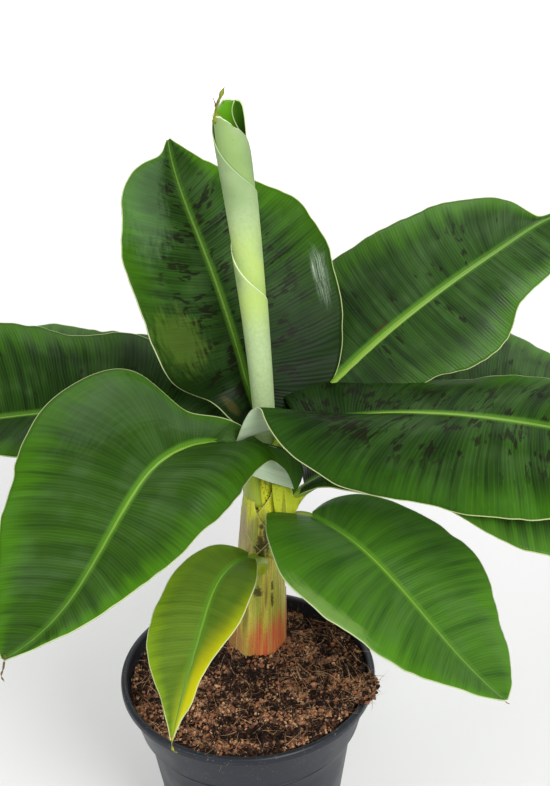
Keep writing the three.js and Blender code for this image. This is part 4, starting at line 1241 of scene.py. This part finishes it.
pot = {
    "height": 0.150,
    "baseRadius": 0.055,
    "bodyRadius": 0.070,
    "collarFoot": 0.075,
    "collarTop": 0.082,
    "rimRadius": 0.085,
    "collarHeight": 0.035,
    "shoulder": 0.0012,
    "lipHeight": 0.006,
    "lipEase": 0.0008,
    "lipRadius": 0.0023,
    "wall": 0.0016,
    "floor": 0.0022,
    "footRadius": 0.0025,
    "ridgeDrop": 0.005,
    "ridgeRadius": 0.0012,
    "holes": 8,
    "holeRadius": 0.004,
    "holeCircle": 0.038,
    "drillPast": 0.003,  # how far a hole's drill reaches past the floor
    "drillSides": 32,
    "hub": 0.012,  # radius of the flat fans in the middle of its underside and floor
    "sides": 180,
}
collarStep = pot["height"] - pot["collarHeight"]  # height where the collar starts

potLook = {
    "plastic": colour(27, 31, 39),
    "worn": colour(40, 45, 54),
    "dust": colour(120, 112, 104),
    "dustyHeight": (0.09, 0.15),
}


# Radius and height pairs round an arc, from one angle to another in degrees.
def arc(radius, height, size, start, end, steps):
    turn = np.radians(np.linspace(start, end, steps + 1))
    return np.stack([radius + size * np.cos(turn), height + size * np.sin(turn)], -1)


# Evenly spaced pairs on a straight line from one to another.
def straight(start, end, steps):
    return between(np.array(start), np.array(end), np.linspace(0, 1, steps + 1)[:, None])


# The pot's profile, turned about +Z: radius and height from the middle of the underside, over the lip
# and down the inside to the middle of the floor.
def potSkin():
    lipFoot = pot["height"] - pot["lipHeight"]
    lipMiddle = (pot["rimRadius"] - pot["lipRadius"], pot["height"] - pot["lipRadius"])
    ridge = collarStep - pot["ridgeDrop"]
    inset = pot["wall"]
    profile = np.concatenate([
        straight((pot["hub"], 0), (pot["baseRadius"] - pot["footRadius"], 0), 6),
        arc(pot["baseRadius"] - pot["footRadius"], pot["footRadius"], pot["footRadius"], -80, 0, 5),
        straight((pot["baseRadius"] + 0.0005, 0.008), (pot["bodyRadius"] - 0.0006, ridge - 0.003), 12),
        arc(pot["bodyRadius"], ridge, pot["ridgeRadius"], -85, 85, 8),
        straight((pot["bodyRadius"], collarStep - 0.002),
                 (pot["bodyRadius"] + 0.0004, collarStep - 0.0003), 2),
        arc(pot["collarFoot"] - 0.001, collarStep + pot["shoulder"], 0.001, -80, 0, 4),
        straight((pot["collarFoot"] + 0.0004, collarStep + 0.003), (pot["collarTop"], lipFoot - 0.0006), 10),
        arc(pot["rimRadius"] - 0.0008, lipFoot + pot["lipEase"] + 0.0004, 0.0008, -80, 0, 4),
        arc(lipMiddle[0], lipMiddle[1], pot["lipRadius"], 0, 180, 12),
        straight((pot["collarTop"] - inset, lipFoot), (pot["collarFoot"] - inset, collarStep + 0.0024), 10),
        straight((pot["bodyRadius"] - inset, collarStep - 0.0012),
                 (pot["baseRadius"] - inset, pot["floor"] + 0.002), 8),
        straight((pot["baseRadius"] - inset - 0.002, pot["floor"]), (pot["hub"], pot["floor"]), 6),
    ])
    rings = ringPoints(profile[:, :1], fullTurn(pot["sides"]), profile[:, 1:])
    travel = np.concatenate([[0], np.cumsum(np.linalg.norm(np.diff(profile, axis=0), axis=1))])
    return tubeSkin(rings, 2 * np.pi * pot["bodyRadius"], travel)


# Plastic, more worn in clouds, with specks of dust that grow denser towards the rim. Relief: fine rings
# round the pot, from noise of the height alone, and a grain.
def potMaterial():
    material, tree = newMaterial("potPlastic", Specular_IOR_Level=0.35)
    place = objectPlace(tree)
    height = separate(tree, place)[2]
    rings = noise(tree, scaled(tree, (0.0, 0.0, height), (1.0, 1.0, 900.0)))
    clouds = noise(tree, place, 34.0, detail=4.0, roughness=0.6)
    dust = useGroup(tree, specks, {"Place": place, "Size": 0.0011, "Amount": 0.42})["Mask"]
    finish = mixColour(tree, ramp(tree, clouds, 0.35, 0.7, 0.0, 0.5), potLook["plastic"], potLook["worn"])
    dust = times(tree, dust, ramp(tree, height, *potLook["dustyHeight"], 0.15, 0.8))
    finish = mixColour(tree, dust, finish, potLook["dust"])
    grain = times(tree, noise(tree, place, 1400.0, detail=1.0), 0.3)
    relief = calc(tree, "MULTIPLY_ADD", rings, 0.5, grain)
    return dress(material, finish, relief, 0.12, 0.0004, ramp(tree, clouds, 0.3, 0.7, 0.36, 0.5))


# Drainage holes: drills on a circle are cut through the floor, and the cut is applied.
def cutHoles(piece):
    ends = np.array([[-pot["drillPast"]], [pot["floor"] + pot["drillPast"]]])
    points, faces = [], []
    for k, angle in enumerate(fullTurn(pot["holes"]) + np.pi / pot["holes"]):
        middle = ringPoints(pot["holeCircle"], angle, 0)
        drill = tubeSkin(middle + ringPoints(pot["holeRadius"], fullTurn(pot["drillSides"]), ends), 1, [0, 1])
        flip = slice(None, None, -1 if enclosed(drill) < 0 else 1)
        offset = k * len(drill["points"])
        points.append(drill["points"])
        faces += [face for group in drill["faces"] for face in (group[:, flip] + offset).tolist()]
    mesh = bpy.data.meshes.new("holeCutters")
    mesh.from_pydata(np.concatenate(points).tolist(), [], faces)
    cutter = bpy.data.objects.new("holeCutters", mesh)
    scene.collection.objects.link(cutter)
    cut = piece.modifiers.new("holes", "BOOLEAN")
    cut.operation = "DIFFERENCE"
    cut.solver = "EXACT"
    cut.object = cutter
    bpy.context.view_layer.update()
    drilled = bpy.data.meshes.new_from_object(piece.evaluated_get(bpy.context.evaluated_depsgraph_get()))
    piece.modifiers.clear()
    piece.data = drilled
    bpy.data.objects.remove(cutter)


potPiece = addPiece("nursery_pot", potSkin(), potMaterial(), ["pot"])
cutHoles(potPiece)
print("pot made")


# Peat

peat = {
    "level": 0.1395,
    "heap": 0.0075,  # how much higher it lies at the front right
    "heapToward": -50,
    "heapSpan": [-0.5, 0.9],
    "lumps": [(0.0009, 0.024, 30), (0.0007, 0.017, 115), (0.0005, 0.011, 65)],  # height, length, direction
    "mound": {"toward": -17, "radius": 0.078, "height": 0.004, "spread": 0.024},  # heap against the rim
    "foot": {"height": 0.0085, "spread": 0.010, "reach": 0.021},  # heaped up round the trunk
    "grain": [(0.0028, 0.0085), (0.0015, 0.0042), (0.0007, 0.0019)],  # height and size of the crumbly relief
    "strand": {"rows": 6, "sides": 3, "taper": 0.85},
    "rings": 96,
    "sides": 360,
    "seeds": {"grain": 70, "crumbs": 80, "fibres": 90},
    "clump": {"toward": -17, "radius": 0.081, "height": 0.150, "size": (0.0075, 0.014, 0.0032)},
    "crumbs": [  # name, number, size, how they keep to the lumps
        ("dark", 2200, 0.0010, -1), ("brown", 2600, 0.0008, 0.3),
        ("red", 1600, 0.0008, 1), ("tan", 1200, 0.0005, 1.5),
    ],
    "fibres": [  # name, number, lengths, radii
        ("brown", 2300, (0.002, 0.009), (0.00008, 0.0002)),
        ("pale", 460, (0.004, 0.016), (0.00010, 0.00026)),
    ],
    "cornerPull": (0.65, 1.25),  # how far a crumb's corners are pulled in or out
    "crumbSizes": (0.4, 1.2),  # least and greatest, before a power that makes small ones commoner
    "crumbPower": 1.6,
    "crumbStretch": (0.25, 1.7),  # of each of its three directions
    "crumbLift": 0.0003,  # how far crumbs lie above the peat
    "clumpShare": 0.07,  # how many lie on the clump
    "clear": 0.020,  # distance from the trunk that stays free of them
    "moved": (0.035, -0.045),  # how far those that would lie nearer are moved
}

peatLook = {
    "dark": colour(22, 14, 11),
    "brown": colour(92, 60, 44),
    "red": colour(146, 92, 64),
    "tan": colour(206, 162, 122),
    "pale": colour(222, 196, 158),
}


# How far places lie along a direction in degrees.
def alongWay(x, y, degrees):
    return x * np.cos(np.radians(degrees)) + y * np.sin(np.radians(degrees))


# Distance from the middle of the trunk's foot.
def fromTrunk(x, y):
    return np.hypot(x - trunk["foot"][0], y - trunk["foot"][1])


# Height of the peat: heaped to one side, with low waves that cross, bell-shaped heaps against the rim and
# the trunk, and a crumbly relief.
def peatHeight(x, y):
    slope = alongWay(x, y, peat["heapToward"]) / pot["bodyRadius"]
    height = peat["level"] + peat["heap"] * smoothStep(slope, *peat["heapSpan"])
    for size, length, toward in peat["lumps"]:
        height = height + size * np.sin(2 * np.pi * alongWay(x, y, toward) / length)
    mound, foot = peat["mound"], peat["foot"]
    turn = np.radians(mound["toward"])
    away = np.hypot(x - mound["radius"] * np.cos(turn), y - mound["radius"] * np.sin(turn))
    height = height + mound["height"] * np.exp(-((away / mound["spread"]) ** 2))
    away = np.maximum(fromTrunk(x, y) - foot["reach"], 0)
    height = height + foot["height"] * np.exp(-((away / foot["spread"]) ** 2))
    for k, (size, scale) in enumerate(peat["grain"]):
        height = height + size * noiseAt(x / scale, y / scale, 0.5, peat["seeds"]["grain"] + k)
    return height


# Radius that the collar leaves free at a height: its line from foot to top, less its wall and a small gap.
def innerRadius(z):
    share = (z - collarStep) / (pot["height"] - pot["lipHeight"] - collarStep)
    return between(pot["collarFoot"], pot["collarTop"], share) - pot["wall"] - 2 * gap


# Rings up the inside of the pot, then inwards over the heaped top.
def peatSkin():
    turn = fullTurn(peat["sides"])
    clear = pot["wall"] + 2 * gap
    wall = [(pot["baseRadius"] - clear, pot["floor"] + 2 * gap),
            (pot["bodyRadius"] - clear, collarStep - pot["shoulder"]),
            (pot["collarFoot"] - clear, collarStep + 2 * pot["shoulder"])]
    radius = innerRadius(peat["level"]) * (1 - np.arange(peat["rings"]) / peat["rings"])
    x, y = radius[:, None] * np.cos(turn), radius[:, None] * np.sin(turn)
    side = np.stack([ringPoints(r, turn, h) for r, h in wall])
    rings = np.concatenate([side, np.stack([x, y, peatHeight(x, y)], -1)])
    return tubeSkin(rings, 0.4, np.arange(len(rings)) * 0.0008)


# One colour to a lighter one where a fine noise is high, and less so where a broad noise is low.
def peatMaterial(name, base, lighter, scale):
    material, tree = newMaterial(name, Specular_IOR_Level=0.2, Roughness=0.9)
    place = objectPlace(tree)
    fine = noise(tree, place, scale, detail=4.0, roughness=0.7)
    broad = noise(tree, place, 110.0)
    amount = times(tree, ramp(tree, fine, 0.42, 0.68), ramp(tree, broad, 0.35, 0.62, 0.15, 1.0))
    height = noise(tree, place, scale * 2, detail=3.0)
    return dress(material, mixColour(tree, amount, base, lighter), height, 0.6, 0.0006)


# Random turns for many small pieces at once, from seeded random axes (n, 3, 3).
def randomTurns(count, draw):
    basis, _ = np.linalg.qr(draw.normal(size=(count, 3, 3)))
    return basis


# Where crumbs lie: over the peat, more on its lumps (lean above 0) or in its hollows (below 0), clear of
# the trunk, with some on the clump over the rim.
def crumbPlaces(count, draw, lean=0):
    radius = innerRadius(peat["level"]) * np.sqrt(draw.uniform(0, 1, 3 * count))
    turn = draw.uniform(0, 2 * np.pi, 3 * count)
    coarse = peat["grain"][0][1]
    x, y = radius * np.cos(turn) / coarse, radius * np.sin(turn) / coarse
    lumps = noiseAt(x, y, 0.5, peat["seeds"]["grain"])
    chosen = np.argsort(-lean * lumps + draw.uniform(0, 0.6, 3 * count))[:count]
    radius, turn = radius[chosen], turn[chosen]
    x, y = radius * np.cos(turn), radius * np.sin(turn)
    nearTrunk = fromTrunk(x, y) < peat["clear"]
    x[nearTrunk] = x[nearTrunk] + peat["moved"][0]
    y[nearTrunk] = y[nearTrunk] + peat["moved"][1]
    places = np.stack([x, y, peatHeight(x, y) + peat["crumbLift"]], -1)
    onClump = draw.uniform(0, 1, count) < peat["clumpShare"]
    clump = peat["clump"]
    out, up, wide = unit(draw.normal(size=(count, 3))).T * np.array(clump["size"])[[0, 2, 1], None]
    turn = np.radians(clump["toward"])
    reach = clump["radius"] + out
    ball = np.stack([reach * np.cos(turn) - wide * np.sin(turn), reach * np.sin(turn) + wide * np.cos(turn),
                     clump["height"] + np.abs(up)], -1)
    places[onClump] = ball[onClump]
    return places


# Crumbs: one twenty-sided shape, its corners pulled about, scaled, turned and set down many times.
def crumbSkin(count, size, seed, lean):
    draw = np.random.default_rng(seed)
    golden = (1 + 5**0.5) / 2
    signs = np.array([(a, b) for a in (-1, 1) for b in (-golden, golden)])
    zero = np.zeros((4, 1))
    last = np.hstack([signs[:, 1:], zero, signs[:, :1]])
    corners = np.concatenate([np.hstack([zero, signs]), np.hstack([signs, zero]), last])
    near = np.abs(np.linalg.norm(corners[:, None] - corners[None], axis=-1) - 2) < 0.01
    a, b, c = np.nonzero(near[:, :, None] & near[None] & near[:, None, :])
    faces = np.stack([a, b, c], -1)[(a < b) & (b < c)]
    a, b, c = corners[faces].transpose(1, 0, 2)
    inward = np.einsum("ij,ij->i", np.cross(b - a, c - a), a + b + c) < 0
    faces[inward] = faces[inward][:, ::-1]
    shape = unit(corners)[None] * draw.uniform(*peat["cornerPull"], (count, 12, 1))
    scale = 1.5 * size * draw.uniform(*peat["crumbSizes"], (count, 1, 1)) ** peat["crumbPower"]
    scale = scale * draw.uniform(*peat["crumbStretch"], (count, 1, 3))
    points = np.einsum("nij,nkj->nki", randomTurns(count, draw), shape * scale)
    points = points + crumbPlaces(count, draw, lean)[:, None]
    allFaces = (faces[None] + 12 * np.arange(count)[:, None, None]).reshape(-1, 3)
    return {"points": points.reshape(-1, 3), "faces": [allFaces], "maps": None}


# Strands: three-sided tapering tubes along curved lines, many at once.
# Line = start + direction * s + bend * s squared, for s from 0 to the length.
def strandSkin(starts, directions, bends, lengths, radius):
    count, rows, sides = len(starts), peat["strand"]["rows"], peat["strand"]["sides"]
    share = np.linspace(0, 1, rows)[None, :, None]
    s = share * lengths[:, None, None]
    line = starts[:, None] + directions[:, None] * s + bends[:, None] * s**2
    ahead = unit(directions[:, None] + 2 * bends[:, None] * s)
    across = unit(np.cross(ahead, [0.31, 0.52, 0.79]))
    above = np.cross(ahead, across)
    turn = fullTurn(sides)[:, None]
    section = across[:, :, None] * np.cos(turn) + above[:, :, None] * np.sin(turn)
    thin = radius[:, None, None, None] * (1 - peat["strand"]["taper"] * share[..., None])
    rings = line[:, :, None] + thin * section
    quads, _ = gridQuads(rows, sides, wrapped=True)
    ends = np.array([[2, 1, 0], (rows - 1) * sides + np.array([0, 1, 2])])
    offset = (rows * sides * np.arange(count))[:, None, None]
    faces = [(quads[None] + offset).reshape(-1, 4), (ends[None] + offset).reshape(-1, 3)]
    return {"points": rings.reshape(-1, 3), "faces": faces, "maps": None}


ground = peatMaterial("peatGround", peatLook["dark"], peatLook["brown"], 260.0)
addPiece("peat", peatSkin(), ground, ["soil"])
lighter = {"dark": "brown", "brown": "tan", "red": "tan", "tan": "pale"}
for k, (name, count, size, lean) in enumerate(peat["crumbs"]):
    material = peatMaterial("peat_" + name, peatLook[name], peatLook[lighter[name]], 700.0)
    skin = crumbSkin(count, size, peat["seeds"]["crumbs"] + k, lean)
    addPiece("peat_crumbs_" + name, skin, material, ["soil"])
for k, (name, count, lengths, radii) in enumerate(peat["fibres"]):
    draw = np.random.default_rng(peat["seeds"]["fibres"] + k)
    starts = crumbPlaces(count, draw)
    directions = unit(draw.normal(size=(count, 3)) * [1, 1, 0.35] + [0, 0, 0.12])
    bends = draw.normal(size=(count, 3)) * [22, 22, 10]
    skin = strandSkin(starts, directions, bends, draw.uniform(*lengths, count), draw.uniform(*radii, count))
    base = peatLook["red" if name == "brown" else "tan"]
    material = peatMaterial("peatFibre_" + name, base, peatLook["pale"], 300.0)
    addPiece("peat_fibres_" + name, skin, material, ["soil"])
print("peat made")


# Camera, light and floor

view = {
    "place": (0.0247, -0.8201, 0.8646),
    "down": 31.3,  # degrees below level
    "roll": 2.0,
    "lens": 73.3,  # on a 36 mm frame, held to the long side
}

light = {
    "world": 0.56,
    "key": {"place": (1.1, -1.8, 1.8), "aim": (0, 0, 0.25), "size": 1.2, "power": 48, "spread": 180},
    "fill": {"place": (-1.6, -1.2, 1.2), "aim": (0, 0, 0.3), "size": 1.6, "power": 10, "spread": 180},
    "back": {"place": (-0.2, 2.3, 2.4), "aim": (-0.2, 2.1, 0), "size": 2.2, "power": 30, "spread": 100},
    "floor": colour(228, 228, 228),
    "floorHalf": 6,  # half its width
}


# The photo's camera looks along +Y and down; its right and its under are turned by the roll.
def makeCamera():
    down, tilt = np.radians(view["down"]), np.radians(view["roll"])
    forward = np.array([0, np.cos(down), -np.sin(down)])
    level, below = np.array([1.0, 0, 0]), np.array([0, -np.sin(down), -np.cos(down)])
    right = np.cos(tilt) * level + np.sin(tilt) * below
    under = -np.sin(tilt) * level + np.cos(tilt) * below
    matrix = np.eye(4)
    matrix[:3] = np.stack([right, -under, -forward, view["place"]], -1)
    data = bpy.data.cameras.new("camera")
    data.lens = view["lens"]
    data.clip_start = 0.05
    camera = bpy.data.objects.new("camera", data)
    camera.matrix_world = Matrix(matrix.tolist())
    scene.collection.objects.link(camera)
    scene.camera = camera


# A round lamp at its place, its own -Z axis turned towards what it is aimed at.
def addLight(name, kind):
    data = bpy.data.lights.new(name, "AREA")
    data.shape = "DISK"
    data.size = kind["size"]
    data.energy = kind["power"]
    data.spread = np.radians(kind["spread"])
    lamp = bpy.data.objects.new(name, data)
    lamp.location = kind["place"]
    lamp.rotation_euler = (Vector(kind["aim"]) - Vector(kind["place"])).to_track_quat("-Z", "Y").to_euler()
    scene.collection.objects.link(lamp)


# A square floor about the origin and an even white world.
def makeStage():
    material, _ = newMaterial("paleFloor", Base_Color=light["floor"], Roughness=0.95, Specular_IOR_Level=0.1)
    mesh = bpy.data.meshes.new("floor")
    corners = light["floorHalf"] * np.array([(-1, -1, 0), (1, -1, 0), (1, 1, 0), (-1, 1, 0)])
    mesh.from_pydata(corners.tolist(), [], [(0, 1, 2, 3)])
    mesh.materials.append(material)
    floor = bpy.data.objects.new("floor", mesh)
    scene.collection.objects.link(floor)
    world = bpy.data.worlds.new("paleRoom")
    world.use_nodes = True
    background = world.node_tree.nodes["Background"]
    background.inputs["Color"].default_value = (1, 1, 1, 1)
    background.inputs["Strength"].default_value = light["world"]
    scene.world = world


makeCamera()
for name in ("key", "fill", "back"):
    addLight(name + "Light", light[name])
makeStage()
scene.view_settings.view_transform = "Standard"
print("camera, light and floor ready")
